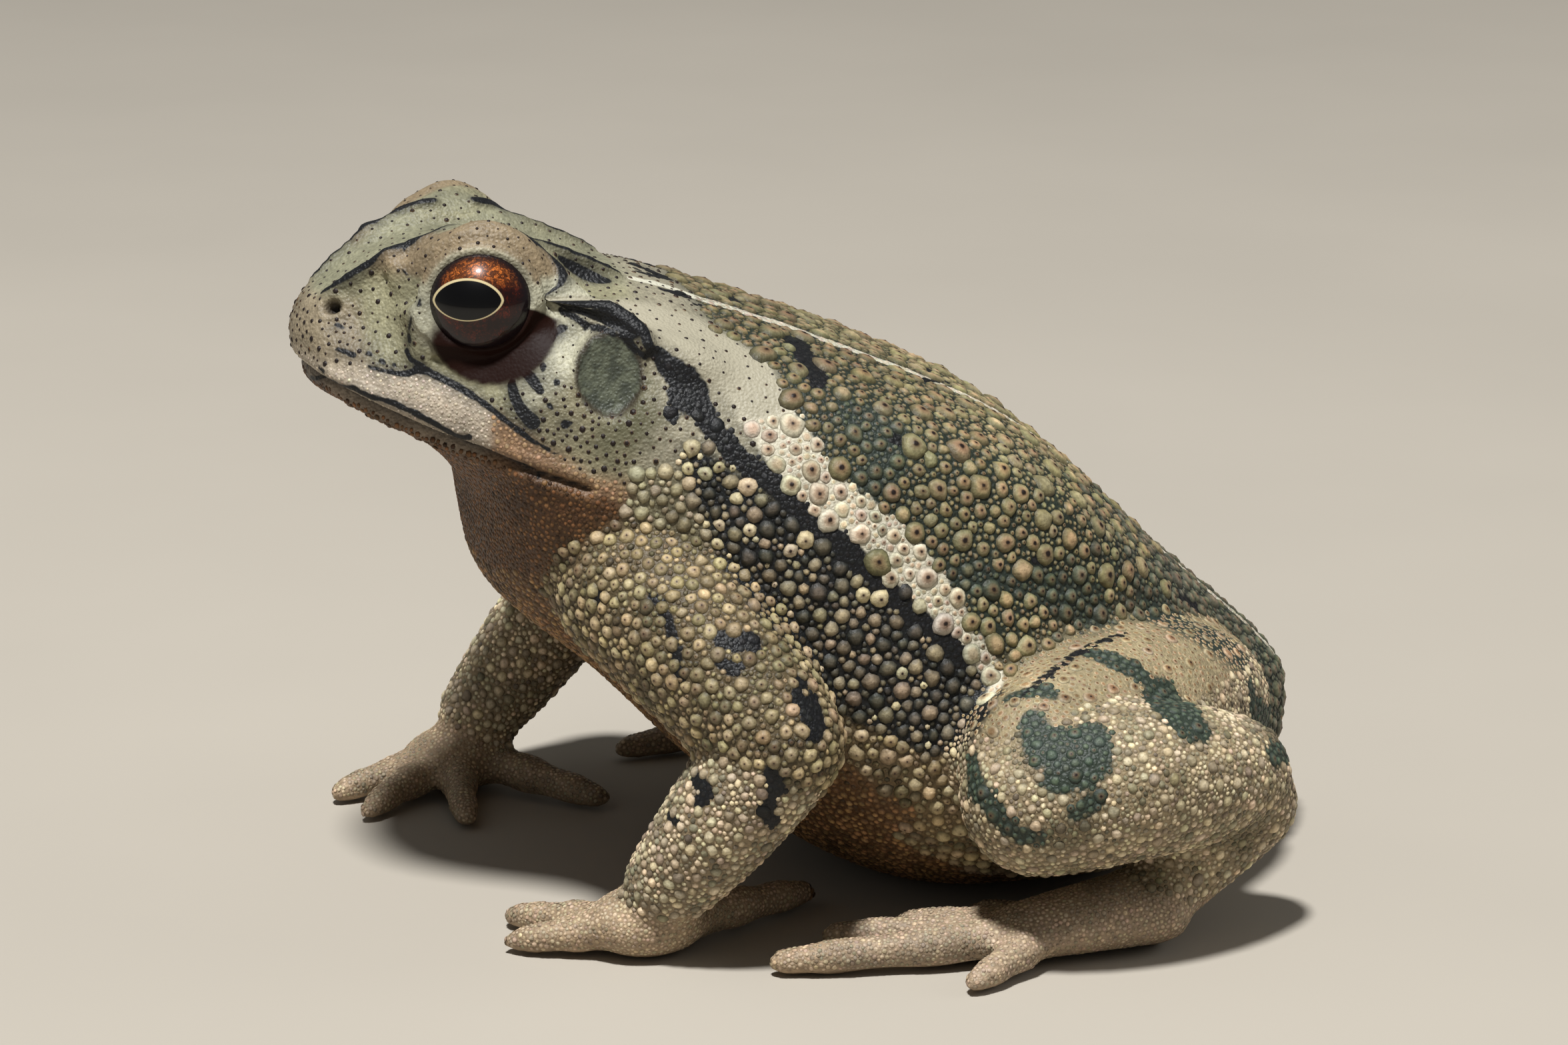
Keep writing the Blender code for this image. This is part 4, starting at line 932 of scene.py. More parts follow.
# Colours of the skin between the warts, of a wart's foot and of its crown, zone by zone.
PALETTE = {
    "back": ("#272E26", "#746C4E", "#A8916E"),
    "rump": ("#2A302A", "#525444", "#7C7460"),
    "flesh": ("#6E5E42", "#A39270", "#C2AF8A"),
    # Belly and jaw: their own orange tan, painted darker as the shade of the throat and of the underside.
    "belly": ("#5E432A", "#785A3A", "#94744E"),
    "jaw": ("#4E331C", "#5E4024", "#725032"),
    "lip": ("#B8AB98", "#B4A692", "#C6BAA8"),
    "lip_rear": ("#94765A", "#8C6E52", "#A88A6A"),
    "snout": ("#8A7E68", "#5E5038", "#33241A"),
    "face": ("#8B876C", "#625C44", "#2E2018"),
    "crown": ("#828069", "#56533F", "#2E2018"),
    "ring": ("#A9A690", "#8A8468", "#4A3826"),
    "lid": ("#85755C", "#6E5E46", "#33241A"),
    "cheek": ("#7E7860", "#5C5642", "#2A2019"),
    "arm": ("#584C36", "#948462", "#BAA884"),
    "forearm": ("#84745A", "#B4A486", "#CEBEA0"),
    "hand": ("#A38D72", "#B39D80", "#C4B094"),
    "thigh": ("#9C8E6E", "#A8987A", "#8A7050"),
    "shank": ("#8E7E62", "#AE9E80", "#C6B698"),
    "sandy": ("#95846A", "#B09E80", "#C6B698"),
    "foot": ("#9E8A72", "#B09A80", "#C0AC92"),
    "gland": ("#9C9480", "#84745C", "#3E2E22"),
    "nape": ("#928C78", "#7E725A", "#35281E"),
    "collar": ("#6E6852", "#A2967A", "#C2B698"),
    "stripe": ("#CCC7B4", "#C8BEA6", "#BFA98E"),
    "flank": ("#141617", "#32332F", "#585246"),
    "moss": ("#2A322C", "#464C3E", "#6E6C54"),
    "bars": ("#2C352C", "#39433A", "#525C4C"),
    "ink_and_crease_shade": ("#121315", "#141517", "#202020"),
    "mark": ("#121315", "#141517", "#202020"),
    "middle": ("#C0BEAE", "#BDB8A4", "#B4A08A"),
    "cream": ("#B0A282", "#BCAE8C", "#CCBE9C"),
}
ZONES = tuple(PALETTE)

# Warts of each zone and size: share of the places that get one, least and greatest half width,
# how far apart they stand and how high they rise, both as a share of their half width.
WARTS = {
    "large": {
        "back": (0.7, 0.8, 1.12, 1.42, 0.42),
        "stripe": (0.9, 0.75, 1.1, 1.05, 0.42),
        "rump": (0.3, 0.7, 0.9, 1.8, 0.42),
        "moss": (0.5, 0.75, 1.0, 1.5, 0.42),
    },
    "middle": {
        "back": (1.0, 0.42, 0.7, 1.06, 0.46),
        "rump": (1.0, 0.42, 0.64, 1.0, 0.5),
        "moss": (1.0, 0.42, 0.66, 1.06, 0.46),
        "stripe": (1.0, 0.42, 0.72, 1.0, 0.4),
        "flank": (1.0, 0.4, 0.7, 0.97, 0.56),
        "cream": (1.0, 0.42, 0.7, 0.97, 0.58),
        "flesh": (1.0, 0.44, 0.66, 0.98, 0.58),
        "arm": (1.0, 0.4, 0.6, 1.0, 0.52),
        "forearm": (0.55, 0.32, 0.46, 1.35, 0.5),
        "bars": (0.35, 0.36, 0.54, 1.6, 0.38),
        "thigh": (0.35, 0.4, 0.56, 2.1, 0.34),
        "sandy": (0.35, 0.34, 0.46, 1.7, 0.44),
        "shank": (0.4, 0.34, 0.48, 1.6, 0.46),
        "ink_and_crease_shade": (0.02, 0.4, 0.52, 1.6, 0.26),
        "collar": (0.9, 0.36, 0.6, 1.02, 0.55),
    },
    "small": {
        "back": (1.0, 0.17, 0.36, 1.0, 0.42),
        "rump": (1.0, 0.18, 0.36, 1.0, 0.45),
        "moss": (1.0, 0.17, 0.34, 1.0, 0.42),
        "stripe": (1.0, 0.17, 0.38, 1.0, 0.34),
        "flank": (1.0, 0.2, 0.4, 0.96, 0.58),
        "cream": (1.0, 0.2, 0.4, 0.96, 0.58),
        "flesh": (1.0, 0.2, 0.4, 0.98, 0.52),
        "belly": (1.0, 0.18, 0.34, 1.0, 0.42),
        "jaw": (0.9, 0.12, 0.21, 1.1, 0.4),
        "arm": (1.0, 0.18, 0.36, 0.98, 0.5),
        "forearm": (1.0, 0.14, 0.32, 0.98, 0.5),
        "hand": (1.0, 0.11, 0.19, 1.03, 0.34),
        "foot": (1.0, 0.11, 0.19, 1.03, 0.34),
        "bars": (0.8, 0.18, 0.34, 1.15, 0.4),
        "thigh": (0.8, 0.13, 0.26, 1.3, 0.26),
        "sandy": (1.0, 0.13, 0.3, 1.0, 0.48),
        "shank": (1.0, 0.13, 0.3, 1.0, 0.5),
        "middle": (0.9, 0.18, 0.34, 1.05, 0.24),
        "ink_and_crease_shade": (0.4, 0.15, 0.26, 1.3, 0.22),
        "cheek": (0.9, 0.15, 0.32, 1.5, 0.42),
        "face": (0.9, 0.13, 0.28, 2.5, 0.45),
        "crown": (0.6, 0.11, 0.22, 3.6, 0.45),
        "snout": (0.9, 0.13, 0.29, 1.9, 0.45),
        "lid": (0.8, 0.1, 0.2, 3.4, 0.5),
        "ring": (0.3, 0.08, 0.14, 5.0, 0.5),
        "lip": (0.8, 0.1, 0.18, 1.4, 0.35),
        "lip_rear": (0.8, 0.1, 0.2, 1.3, 0.35),
        "gland": (0.8, 0.12, 0.24, 4.0, 0.45),
        "nape": (0.9, 0.14, 0.3, 2.4, 0.45),
        "collar": (1.0, 0.2, 0.38, 1.0, 0.5),
    },
}
# Sides and rings of each size of wart, how many places are tried and the seed.
MAKE = {"large": (14, 4, 16000), "middle": (10, 3, 160000), "small": (6, 2, 800000)}
SEED = 5

# Where each limb lies on the unwrap: the trunk fills the lower half, each limb a strip above it.
TILE_TOPS = {
    "thigh": (0.50, 0.64),
    "shank": (0.64, 0.77),
    "upper_arm": (0.77, 0.86),
    "forearm": (0.86, 0.92),
    "tarsus": (0.92, 0.95),
    "foot": (0.95, 0.98),
    "hand": (0.98, 1.0),
}
LIMB_TILES = tuple((side, name) for name in TILE_TOPS for side in SIDES)
# Half width of a wart's patch on the unwrap.
PATCH = 0.0015


# Zones whose warts have a dark tip, vary much in tone, or are as dull as the skin where they are
# small, and zones that have dark dots in place of warts.
DARK_TIPPED = ("back", "rump", "moss", "stripe", "thigh", "bars", "arm", "cream", "flesh")
CRUSTED = ("shank", "arm", "forearm", "sandy", "belly", "flesh", "jaw")
DULL_BETWEEN = ("back", "rump", "moss", "flank", "arm", "flesh")
DOTS = ("face", "crown", "snout", "lid", "ring", "gland", "nape", "cheek")
# How light the warts of the back are along it.
BACK_LIGHT = ((-6.0, 2.0, 10.0, 20.0), (0.84, 1.0, 1.3, 1.15))
# How many of its nearest warts a wart's foot is fitted to.
NEIGHBOURS = 10


def within(zone, *names):
    """Where the zone is one of those named."""
    return np.isin(zone, [ZONES.index(name) for name in names])


def zone_of(points, outward, fields):
    """The name of the zone that each point lies in, as a number in ZONES."""
    x, y, z = np.abs(points[:, 0]), points[:, 1], points[:, 2]
    height, limb = fields["height"], fields["limb"]
    zone = np.full(len(points), ZONES.index("flesh"))

    def put(name, where):
        """Makes this the zone of the points where this holds."""
        zone[where] = ZONES.index(name)

    rear = fields["along"] > 0.62
    put("belly", height < np.where(rear, 0.3, 0.36))
    put("belly", (z < 37) & (y < -13) & (x < 13.5))
    put("back", height > 0.56)
    put("rump", (height > 0.5) & (fields["along"] + fields["stray"] > 0.74))
    put("moss", fields["moss"] < 0)
    put("middle", fields["middle"] < 0)
    put("nape", (y < -11.5 - 0.25 * (z - 44)) & (z > 38.5) & (height > 0.45))
    put("collar", (y < -13.5) & (z > 30.0) & (z <= 38.5) & (height > 0.4))
    put("flank", fields["side"] < 0)
    put("stripe", fields["band"] < 0)
    neck = np.interp(z, (26.5, 30, 35, 42, 50, 58), (-34.0, -25.0, -21.4, -19.8, -18.4, -15.4))
    face = (y < neck) & (limb == 0)
    above = z - np.interp(y, (-43.4, -39.3, -34.7, -28.0, -24.0, -19.0), (44.2, 42.4, 40.4, 38.2, 37.0, 36.0))
    lip = np.interp(y, (-43.0, -39.5, -36.9, -32.2, -27.4, -24.0), (1.2, 3.1, 4.0, 4.6, 2.5, 1.0))
    put("face", face)
    put("crown", face & (outward[:, 2] > 0.72) & (x < 6.5))
    put("snout", face & (y < -39.5) & (z < 50))
    put("cheek", face & (x > 11.5) & (y > -28.6) & (z < 49.5))
    put("ring", face & (fields["eye_ring"] < np.where(y > -28.5, 3.2, 1.2)))
    put("lid", face & (fields["eye_ring"] > 0.4) & (fields["eye_ring"] < 3.8) & (z > 52.2))
    put("lip", face & (above < lip))
    put("lip_rear", face & (above < lip) & (y > -31.0))
    put("jaw", face & (above < -0.4))
    names = {"upper_arm": "arm", "tarsus": "shank"}
    for index, (_, name) in enumerate(LIMB_TILES, 1):
        put(names.get(name, name), limb == index)
    put("sandy", within(zone, "thigh") & (z < 18.5))
    put("hand", (limb == 0) & (z < np.where(y < -12, 9.0, 4.4)) & (y < -5.4) & (x > 9))
    put("foot", (limb == 0) & (z < 5.5) & (y > -12) & (x > 24.5))
    put("bars", (fields["bars"] < 0) & (limb > 0))
    put("stripe", (fields["band"] < -0.1) & ~face)
    put("gland", (fields["neck"] < 0) & ~face)
    put("ink_and_crease_shade", fields["ink_and_crease_shade"] < 0)
    put("mark", face & ((fields["ink_and_crease_shade"] < 0.1) | (fields["line"] < 0.1)))
    return zone


def tints(column, zone):
    """The colour of each point's zone: column 0 is the skin, 1 a wart's foot and 2 its crown."""
    table = np.array([hexa(row[column]) for row in PALETTE.values()])
    return table[zone]


def blend(first, second, part):
    """Colours between the first and the second, which may be a hex colour."""
    return first * (1 - part) + (hexa(second) if isinstance(second, str) else second) * part


def spread(mesh, values, passes):
    """Values at the corners of a mesh, evened out with their neighbours'."""
    edges = edge_ends(mesh)
    many = np.bincount(edges.ravel(), minlength=len(values))[:, None] + 1
    for _ in range(passes):
        total = values.copy()
        for axis in range(values.shape[1]):
            total[:, axis] += np.bincount(edges[:, 0], values[edges[:, 1], axis], len(values))
            total[:, axis] += np.bincount(edges[:, 1], values[edges[:, 0], axis], len(values))
        values = total / many
    return values


def unwrapped(fields):
    """Each point's place on the unwrap of the skin: round and along the trunk or its limb."""
    u = fields["turn"]
    v = fields["along"] * 0.5
    for index, (side, name) in enumerate(LIMB_TILES, 1):
        mine = fields["limb"] == index
        low, high = TILE_TOPS[name]
        u = np.where(mine, fields["spin"] * 0.5 + (0.5 if side == "right" else 0.0), u)
        v = np.where(mine, low + (high - low) * fields["part"], v)
    return np.column_stack([u, v])


def dome(sides, rings):
    """Half a sphere with its rings moved to a wart's profile. Returns its corners and triangles."""
    bm = bmesh.new()
    bmesh.ops.create_uvsphere(bm, u_segments=sides, v_segments=2 * rings, radius=1.0)
    below = [vert for vert in bm.verts if vert.co.z < -1e-4]
    bmesh.ops.delete(bm, geom=below, context="VERTS")
    bmesh.ops.triangulate(bm, faces=bm.faces)
    # Width and height of each ring from the top, for domes of 2, 3 and 4 rings.
    profiles = {
        2: ((0.0, 1.0), (0.64, 0.7), (1.03, -0.3)),
        3: ((0.0, 1.08), (0.36, 0.9), (0.78, 0.5), (1.03, -0.3)),
        4: ((0.0, 1.14), (0.18, 0.99), (0.52, 0.83), (0.84, 0.42), (1.03, -0.3)),
    }
    for vert in bm.verts:
        ring = round(math.acos(max(-1.0, min(1.0, vert.co.z))) / (math.pi / 2) * rings)
        wide, high = profiles[rings][ring]
        flat = Vector((vert.co.x, vert.co.y, 0.0))
        vert.co = (flat.normalized() * wide if ring else flat) + Vector((0.0, 0.0, high))
    bm.verts.index_update()
    points = np.array([vert.co for vert in bm.verts])
    faces = np.array([[vert.index for vert in face.verts] for face in bm.faces])
    bm.free()
    return points, faces


def scatter(skin, fields, outward, count, chance):
    """Places spread evenly by chance over the skin, with everything known about each."""
    points = corners(skin)
    skin.calc_loop_triangles()
    faces = np.empty(len(skin.loop_triangles) * 3, np.int64)
    skin.loop_triangles.foreach_get("vertices", faces)
    faces = faces.reshape(-1, 3)
    a, b, c = (points[faces[:, index]] for index in range(3))
    area = np.linalg.norm(np.cross(b - a, c - a), axis=1)
    face = chance.choice(len(faces), count, p=area / area.sum())
    root = np.sqrt(chance.random(count))
    other = chance.random(count)
    weight = np.column_stack([1 - root, root * (1 - other), root * other])
    picked = faces[face]

    def mixed(values):
        """The values at the picked places, from those at the corners round them."""
        return (values[picked] * (weight if values.ndim == 1 else weight[:, :, None])).sum(axis=1)

    main = picked[np.arange(count), weight.argmax(axis=1)]
    found = {}
    for name, values in fields.items():
        whole = name in ("limb", "turn", "spin", "part", "along")
        found[name] = values[main] if whole else mixed(values)
    way = mixed(outward)
    return mixed(points), way / np.linalg.norm(way, axis=1)[:, None], found


def settle(points, half, room, taken):
    """Keeps the places, in order, that stand clear of each other and of the warts already there."""
    keep_from = np.ones(len(points), bool)
    if taken is not None:
        others, other_half = taken
        kd = KDTree(len(others))
        for index, point in enumerate(others):
            kd.insert(point, index)
        kd.balance()
        for index, point in enumerate(points):
            for _, other, gap in kd.find_n(point, 3):
                if gap < (half[index] * min(room[index], 1.3) + other_half[other]) * 0.94:
                    keep_from[index] = False
                    break
    cell = 2 * float((half * room).max())
    grid = {}
    kept = []
    for index in np.flatnonzero(keep_from):
        x, y, z = points[index]
        reach_here = half[index] * room[index]
        column, row, level = int(x // cell), int(y // cell), int(z // cell)
        near = [
            other
            for i in (column - 1, column, column + 1)
            for j in (row - 1, row, row + 1)
            for k in (level - 1, level, level + 1)
            for other in grid.get((i, j, k), ())
        ]
        if all(
            (x - ox) ** 2 + (y - oy) ** 2 + (z - oz) ** 2 >= (reach_here + other) ** 2
            for ox, oy, oz, other in near
        ):
            grid.setdefault((column, row, level), []).append((x, y, z, reach_here))
            kept.append(index)
    return np.array(kept, int)


def wart_tones(points, zone, size, chance):
    """The colours of each wart's foot and crown: its zone's, clouded over and a little uneven."""
    count = len(points)
    plain = (within(zone, *DULL_BETWEEN) * (size == "small") * 0.75)[:, None]
    cloud = np.array([noise.noise(Vector(point) * 0.28) for point in points])
    crust = within(zone, *CRUSTED) * (0.46 if size == "small" else 0.3) + 0.2
    crust += within(zone, "hand", "foot") * 0.06
    light = 1 + crust[:, None] * chance.uniform(-1.0, 0.8, (count, 1)) + 0.3 * cloud[:, None]
    light *= np.where(within(zone, "back"), np.interp(points[:, 1], *BACK_LIGHT), 1.0)[:, None]
    pale = np.where(within(zone, "flank"), 0.8 * chance.random(count) ** 2.2, 0.0)[:, None]
    green = np.where(within(zone, "back"), np.clip(0.15 + 1.6 * cloud, 0.0, 0.6), 0.0)[:, None]
    dusky = within(zone, "arm", "flesh", "shank", "collar")
    olive = np.where(dusky, np.clip((cloud - 0.1) * 2.5, 0.0, 0.75), 0.0)[:, None]
    smoky = within(zone, "hand", "foot", "forearm", "sandy")
    ash = np.where(smoky, np.clip((cloud - 0.08) * 2.2, 0.0, 0.6), 0.0)[:, None]
    warm = chance.uniform(0.94, 1.06, (count, 3))
    foot = blend(blend(tints(1, zone), tints(0, zone), plain), "#A8987A", 0.7 * pale)
    foot = blend(blend(foot, "#4A4632", olive), "#5E5A4C", ash)
    crown = blend(blend(tints(2, zone), "#6A7056", green), tints(1, zone), plain)
    crown = blend(blend(blend(crown, "#BCAA88", pale), "#5E583E", olive), "#746E5C", ash)
    return foot * light * warm, crown * light * warm


def grow_warts(skin, fields, outward):
    """Every wart's place, axis, size, colours and place on the unwrap, largest size first."""
    chance = np.random.default_rng(SEED)
    grown = {}
    taken = None
    for size, (_, _, count) in MAKE.items():
        points, axis, here = scatter(skin, fields, outward, count, chance)
        here["stray"] = chance.uniform(-0.08, 0.08, count)
        for name in ("ink_and_crease_shade", "band", "side", "bars", "moss", "neck"):
            here[name] = here[name] + chance.uniform(-0.25, 0.25, count)
        zone = zone_of(points, axis, here)
        pale_share = np.where(here["side"] > -1.0, 0.3, 0.09)
        zone[within(zone, "flank") & (chance.random(count) < pale_share)] = ZONES.index("cream")
        table = np.array([WARTS[size].get(name, (0.0, 0.5, 0.5, 1.0, 0.5)) for name in ZONES])[zone]
        share, low, high, room, rise = table.T
        half = low + (high - low) * chance.random(count)
        if size == "large":
            share = np.where(within(zone, "stripe") & (here["side"] >= 1.0), 0.25, share)
        clear = (chance.random(count) < share) & (here["socket"] < 0.02) & (here["lower_lid"] > 0.6)
        clear &= (here["eye_ring"] > 0.5) & (here["ear"] > 0.35) & (here["nostril"] > 1.3)
        clear &= (here["mouth"] > 0.45) | (points[:, 1] > -24.0)
        clear &= (here["line"] > half) & (points[:, 2] > 0.8)
        clear &= (here["middle"] < -0.1) | (here["middle"] > half)
        kept = np.flatnonzero(clear)
        kept = kept[settle(points[kept], half[kept], room[kept], taken)]
        points, axis, half, rise, zone = (item[kept] for item in (points, axis, half, rise, zone))
        here = {name: values[kept] for name, values in here.items()}
        foot_tone, crown_tone = wart_tones(points, zone, size, chance)
        tipped = chance.random(len(kept)) < (0.3 if size == "small" else 0.85)
        pin = np.where(tipped & within(zone, *DARK_TIPPED), 0.12, 0.0)
        pin = np.where(within(zone, "back"), pin * 1.35, pin)
        pin = np.where(within(zone, "arm", "flesh"), pin * 0.6, pin)
        pin = np.where(within(zone, *DOTS), 0.8, pin)
        helper = np.where(np.abs(axis[:, 2:3]) < 0.8, (0.0, 0.0, 1.0), (1.0, 0.0, 0.0))
        first = np.cross(helper, axis)
        first /= np.linalg.norm(first, axis=1)[:, None]
        second = np.cross(axis, first)
        turn = chance.uniform(0, 2 * math.pi, (len(kept), 1))
        grown[size] = {
            "points": points,
            "axis": axis,
            "half": half,
            "rise": rise,
            "tone": foot_tone,
            "crown": crown_tone,
            "pin": pin * chance.uniform(0.7, 1.5, len(kept)),
            "right": first * np.cos(turn) + second * np.sin(turn),
            "ahead": second * np.cos(turn) - first * np.sin(turn),
            "place": unwrapped(here),
            "grows": ~within(zone, *DOTS, "lip"),
        }
        if taken is not None:
            points, half = np.concatenate([taken[0], points]), np.concatenate([taken[1], half])
        taken = (points, half)
    fit_together(grown)
    return grown


def fit_together(grown):
    """Gives every wart a foot that reaches half way to each neighbour, so that they pack as cobbles."""
    points = np.concatenate([warts["points"] for warts in grown.values()])
    half = np.concatenate([warts["half"] for warts in grown.values()])
    kd = KDTree(len(points))
    for index, point in enumerate(points):
        kd.insert(point, index)
    kd.balance()
    start = 0
    for size, warts in grown.items():
        mine = np.arange(start, start + len(warts["half"]))
        start += len(mine)
        other = np.array([[found[1] for found in kd.find_n(points[index], NEIGHBOURS)[1:]] for index in mine])
        away = points[other] - points[mine][:, None]
        right = (away * warts["right"][:, None]).sum(axis=2)
        ahead = (away * warts["ahead"][:, None]).sum(axis=2)
        gap = np.linalg.norm(away, axis=2) * half[mine][:, None] / (half[mine][:, None] + half[other])
        gap = np.maximum(gap, 0.6 * half[mine][:, None])
        towards = np.arctan2(ahead, right)
        angles = np.arange(MAKE[size][0]) * 2 * math.pi / MAKE[size][0]
        facing = np.maximum(np.cos(angles[None, :, None] - towards[:, None, :]), 0.0)
        packed = ((facing / gap[:, None, :]) ** 12).sum(axis=2) + (1 / (1.45 * half[mine][:, None])) ** 12
        warts["foot"] = np.where(warts["grows"][:, None], packed ** (-1 / 12), half[mine][:, None])


def wart_piece(name, warts, chosen, template, material):
    """One joined mesh of the chosen warts, in metres and in place, with its OFBake map."""
    shape, faces = template
    axis = warts["axis"][chosen]
    right, ahead = warts["right"][chosen], warts["ahead"][chosen]
    sides = warts["foot"].shape[1]
    spoke = np.rint(np.arctan2(shape[:, 1], shape[:, 0]) / (2 * math.pi) * sides).astype(int) % sides
    wide = warts["foot"][chosen][:, spoke]
    x, y = shape[:, 0] * wide, shape[:, 1] * wide
    z = shape[:, 2] * (warts["half"][chosen] * warts["rise"][chosen])[:, None]
    points = warts["points"][chosen][:, None, :] + x[:, :, None] * right[:, None, :]
    points = points + y[:, :, None] * ahead[:, None, :] + z[:, :, None] * axis[:, None, :]
    count, each = len(chosen), len(shape)
    mesh = bpy.data.meshes.new(name)
    mesh.vertices.add(count * each)
    mesh.vertices.foreach_set("co", ((points.reshape(-1, 3) + SHIFT) * MM).astype(np.float32).ravel())
    corner = (faces[None] + (np.arange(count) * each)[:, None, None]).reshape(-1)
    mesh.loops.add(len(corner))
    mesh.loops.foreach_set("vertex_index", corner.astype(np.int32))
    mesh.polygons.add(count * len(faces))
    mesh.polygons.foreach_set("loop_start", np.arange(0, len(corner), 3, dtype=np.int32))
    mesh.update(calc_edges=True)
    mesh.validate()
    rim = np.hypot(shape[:, 0], shape[:, 1])
    set_numbers(mesh, "rim", np.tile(rim, count))
    set_numbers(mesh, "pin", np.repeat(warts["pin"][chosen], each))
    for label in ("tone", "crown"):
        set_colours(mesh, label, np.repeat(warts[label][chosen], each, axis=0))
    spot = warts["place"][chosen][:, None, :] + PATCH * shape[None, :, :2]
    flat = spot.reshape(-1, 2)[corner]
    mesh.uv_layers.new(name="OFBake").data.foreach_set("uv", flat.astype(np.float32).ravel())
    mesh.shade_smooth()
    mesh.materials.append(material)
    made = placed(name, mesh)
    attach(made, "root")


def node(tree, kind, inputs=None, **settings):
    """Adds a node with its settings, and sets or links its inputs."""
    made = tree.nodes.new(kind)
    for name, value in settings.items():
        setattr(made, name, value)
    for key, value in (inputs or {}).items():
        if isinstance(value, bpy.types.NodeSocket):
            tree.links.new(value, made.inputs[key])
        else:
            made.inputs[key].default_value = value
    return made


def two(tree, part, first, second):
    """A colour between two, each a socket or a linear colour."""
    sockets = [item if isinstance(item, bpy.types.NodeSocket) else (*item, 1.0) for item in (first, second)]
    mixed = node(tree, "ShaderNodeMix", {0: part, 6: sockets[0], 7: sockets[1]}, data_type="RGBA")
    return mixed.outputs[2]


def new_material(name, **settings):
    """An empty material with its shader. Settings are the shader's own sockets."""
    made = bpy.data.materials.new(name)
    made.use_nodes = True
    shader = made.node_tree.nodes["Principled BSDF"]
    for key, value in settings.items():
        shader.inputs[key.replace("_", " ")].default_value = value
    return made, made.node_tree, shader


def maths(tree, operation, *values):
    """The result of a sum on one to three values, each a number or a socket."""
    return node(tree, "ShaderNodeMath", dict(enumerate(values)), operation=operation).outputs[0]


def ranged(tree, value, low, high, to_low, to_high, soft=False):
    """A value from between low and high, brought between two others evenly or as a soft step."""
    ends = {"Value": value, 1: low, 2: high, 3: to_low, 4: to_high}
    kind = "SMOOTHSTEP" if soft else "LINEAR"
    return node(tree, "ShaderNodeMapRange", ends, interpolation_type=kind).outputs[0]


def clouds(tree, place, scale, detail, **more):
    """Soft noise, its scale in forms to the metre."""
    inputs = {"Vector": place, "Scale": scale, "Detail": detail, **more}
    return node(tree, "ShaderNodeTexNoise", inputs).outputs["Fac"]


def mesh_number(tree, name):
    """A number that the mesh carries at its corners."""
    return node(tree, "ShaderNodeAttribute", attribute_name=name).outputs["Fac"]


def mesh_colour(tree, name):
    """A colour that the mesh carries at its corners."""
    return node(tree, "ShaderNodeAttribute", attribute_name=name).outputs["Color"]


def times(tree, colour, light):
    """A colour made lighter or darker."""
    return node(tree, "ShaderNodeVectorMath", {0: colour, 1: light}, operation="MULTIPLY").outputs[0]


def painted(tree, below, colour, reach_name, edge, wander, ragged):
    """One marking painted over what lies below it, with an edge this soft and ragged in mm."""
    gap = maths(tree, "MULTIPLY_ADD", wander, ragged, mesh_number(tree, reach_name))
    return two(tree, ranged(tree, gap, edge, -edge, 0.0, 1.0, soft=True), below, hexa(colour))


def skin_material():
    """Toad skin, matt and slightly moist: fine granules, pigment in cloudy patches, glossy black."""
    made, tree, shader = new_material("moist_granular_toad_skin", Roughness=0.5, Specular_IOR_Level=0.32)
    place = node(tree, "ShaderNodeTexCoord").outputs["Object"]
    # Pigment edges wander at about 1 mm, and the tone clouds over at about 4 mm.
    wander = maths(tree, "ADD", clouds(tree, place, 1100.0, 3.0), -0.5)
    shade = ranged(tree, clouds(tree, place, 260.0, 4.0), 0.3, 0.7, 0.72, 1.18)
    fleck = ranged(tree, clouds(tree, place, 2600.0, 2.0), 0.32, 0.66, 0.78, 1.14)
    colour = times(tree, times(tree, mesh_colour(tree, "tone"), shade), fleck)
    for name, (paint, edge, ragged) in SKIN_MARKS.items():
        colour = painted(tree, colour, paint, name, edge, wander, ragged)
    # Painted shade: the groove of the mouth, the nostril pits and the skin of each eye socket are painted
    # near black.
    colour = two(tree, mesh_number(tree, "gape_shade"), colour, hexa("#1A1310"))
    tree.links.new(colour, shader.inputs["Base Color"])
    # Granules about 0.25 mm across with creases between them, and a finer grain of 0.12 mm.
    granule = node(tree, "ShaderNodeTexVoronoi", {"Vector": place, "Scale": 4200.0}, feature="SMOOTH_F1")
    rough = maths(tree, "MULTIPLY_ADD", granule.outputs["Distance"], -1.0, 1.0)
    height = maths(tree, "MULTIPLY_ADD", clouds(tree, place, 7000.0, 2.0), 0.35, rough)
    # The thin skin of the pouch under the eye is smoother and duller than the rest.
    pouch = mesh_number(tree, "lower_lid")
    firm = ranged(tree, pouch, -0.2, 0.6, 0.15, 0.8)
    bump = node(tree, "ShaderNodeBump", {"Height": height, "Strength": firm, "Distance": 0.00013})
    tree.links.new(bump.outputs[0], shader.inputs["Normal"])
    shine = ranged(tree, pouch, -0.2, 0.6, 0.08, 0.32)
    tree.links.new(shine, shader.inputs["Specular IOR Level"])
    return made


